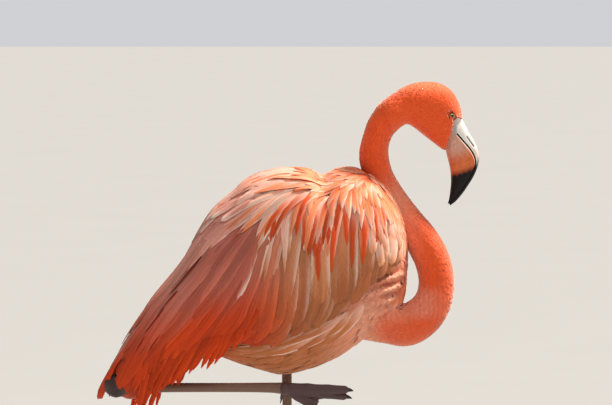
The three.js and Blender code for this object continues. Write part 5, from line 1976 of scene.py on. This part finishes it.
def build_claws():
    """A dark claw on each toe."""
    left, right = [], []
    for angle, reach, size in TOES:
        way = np.array((math.cos(math.radians(angle)), math.sin(math.radians(angle)), 0.0))
        left.append((way * (reach - CLAW_SINK), way, 1.9 * size, CLAW_HALF_WIDTH * size, True))
    for x, y, z, depth, width in RAISED_TOES:
        way = unit(np.array((x, y, z), float) - RAISED_FOOT_AT)
        right.append((np.array((x, y, z)) - CLAW_SINK * way, way, 0.36 * depth, 0.42 * width, False))
    for foot, claws in (("left", left), ("right", right)):
        for i, claw in enumerate(claws, 1):
            tinted_piece(f"claw_{foot}_{i}_horn", *claw_tube(*claw), hue("claw"), "claw_horn", "claw",
                         (f"claw_{foot}_{i}",))


# -------- operators
def build_materials():
    """The finishes of feathers, skin, horn, scales and eyes."""
    vane_group()
    feather_material("neck_coat", 0.7, 0.5, 0.3, 30.0, 0.12, 0.0, 1.0)
    feather_material("body_coat", 0.7, 0.7, 0.1, 70.0, 0.3, 0.03, 0.4)
    feather_material("wing_coat", 0.6, 0.85, 0.1, 110.0, 0.34, 0.08, 0.35)
    feather_material("plume_coat", 0.65, 0.5, 0.1, 90.0, 0.4, 0.08, 0.2)
    tinted_material("eye_gloss", 0.12, 500.0, 0.2, 0.00002, Coat_Weight=1.0)
    tinted_material("skin", 0.6, 900.0, 0.5, 0.0004, Specular_IOR_Level=0.3)
    tinted_material("bill_horn", 0.42, 700.0, 0.4, 0.0003, Specular_IOR_Level=0.2)
    tinted_material("scaly_leg", 0.55, 800.0, 0.4, 0.0003)
    tinted_material("webbed_foot", 0.6, 900.0, 0.45, 0.0003)
    tinted_material("claw_horn", 0.35, 900.0, 0.3, 0.0002)


class FLAMINGO_OT_stage(bpy.types.Operator):
    """Adds the pale floor, the lights and the camera"""

    bl_idname = "flamingo.stage"
    bl_label = "Stage"

    def execute(self, context):
        floor()
        lights()
        camera()
        return {"FINISHED"}


class FLAMINGO_OT_materials(bpy.types.Operator):
    """Makes the finishes that the pieces share"""

    bl_idname = "flamingo.materials"
    bl_label = "Materials"

    def execute(self, context):
        build_materials()
        return {"FINISHED"}


class FLAMINGO_OT_skin(bpy.types.Operator):
    """Fuses trunk, neck and head into one skin"""

    bl_idname = "flamingo.skin"
    bl_label = "Skin"

    def execute(self, context):
        build_skin()
        return {"FINISHED"}


class FLAMINGO_OT_head_and_neck(bpy.types.Operator):
    """Lays the small feathers of head and neck"""

    bl_idname = "flamingo.head_and_neck"
    bl_label = "Head and neck coat"

    def execute(self, context):
        build_head_coat()
        build_neck_coat()
        return {"FINISHED"}


class FLAMINGO_OT_body(bpy.types.Operator):
    """Lays the feathers of breast, belly and back"""

    bl_idname = "flamingo.body"
    bl_label = "Body coat"

    def execute(self, context):
        build_breast_coat()
        build_ridge()
        build_mantle()
        return {"FINISHED"}


class FLAMINGO_OT_wings(bpy.types.Operator):
    """Lays the feathers of the folded wings, their plumes and the tail"""

    bl_idname = "flamingo.wings"
    bl_label = "Wings and tail"

    def execute(self, context):
        for side, name in ((LEFT, "left"), (RIGHT, "right")):
            build_wing(side, name)
            build_tertials(side, name)
            build_plumes(side, name)
        build_tail()
        return {"FINISHED"}


class FLAMINGO_OT_bill(bpy.types.Operator):
    """Makes the upper and the lower bill"""

    bl_idname = "flamingo.bill"
    bl_label = "Bill"

    def execute(self, context):
        build_upper_bill()
        build_lower_bill()
        return {"FINISHED"}


class FLAMINGO_OT_eyes(bpy.types.Operator):
    """Makes the eyes and their lids"""

    bl_idname = "flamingo.eyes"
    bl_label = "Eyes"

    def execute(self, context):
        build_eye(LEFT, "left")
        build_eye(RIGHT, "right")
        return {"FINISHED"}


class FLAMINGO_OT_legs(bpy.types.Operator):
    """Makes the legs, the feet and the claws"""

    bl_idname = "flamingo.legs"
    bl_label = "Legs and feet"

    def execute(self, context):
        build_legs()
        build_feet()
        build_claws()
        return {"FINISHED"}


STEPS = (FLAMINGO_OT_stage, FLAMINGO_OT_materials, FLAMINGO_OT_skin, FLAMINGO_OT_head_and_neck,
         FLAMINGO_OT_body, FLAMINGO_OT_wings, FLAMINGO_OT_bill, FLAMINGO_OT_eyes, FLAMINGO_OT_legs)


class FLAMINGO_PT_panel(bpy.types.Panel):
    """Sidebar panel with the bird's steps, sizes and colours"""

    bl_idname = "FLAMINGO_PT_panel"
    bl_label = "Flamingo"
    bl_space_type = "VIEW_3D"
    bl_region_type = "UI"
    bl_category = "Flamingo"

    def draw(self, context):
        for step in STEPS:
            self.layout.operator(step.bl_idname)
        for group in (context.scene.flamingo_sizes, context.scene.flamingo_colours):
            box = self.layout.box()
            for name in group.__annotations__:
                box.prop(group, name)


CLASSES = (FlamingoSizes, FlamingoColours) + STEPS + (FLAMINGO_PT_panel,)


def register():
    """Registers the classes and the scene's properties."""
    for one in CLASSES:
        bpy.utils.register_class(one)
    bpy.types.Scene.flamingo_sizes = bpy.props.PointerProperty(type=FlamingoSizes)
    bpy.types.Scene.flamingo_colours = bpy.props.PointerProperty(type=FlamingoColours)


def unregister():
    """Removes what register added."""
    del bpy.types.Scene.flamingo_colours
    del bpy.types.Scene.flamingo_sizes
    for one in reversed(CLASSES):
        bpy.utils.unregister_class(one)


def main():
    """Makes every piece in order."""
    register()
    bpy.ops.flamingo.stage()
    bpy.ops.flamingo.materials()
    bpy.ops.flamingo.skin()
    bpy.ops.flamingo.head_and_neck()
    bpy.ops.flamingo.body()
    bpy.ops.flamingo.wings()
    bpy.ops.flamingo.bill()
    bpy.ops.flamingo.eyes()
    bpy.ops.flamingo.legs()


if __name__ == "__main__":
    main()
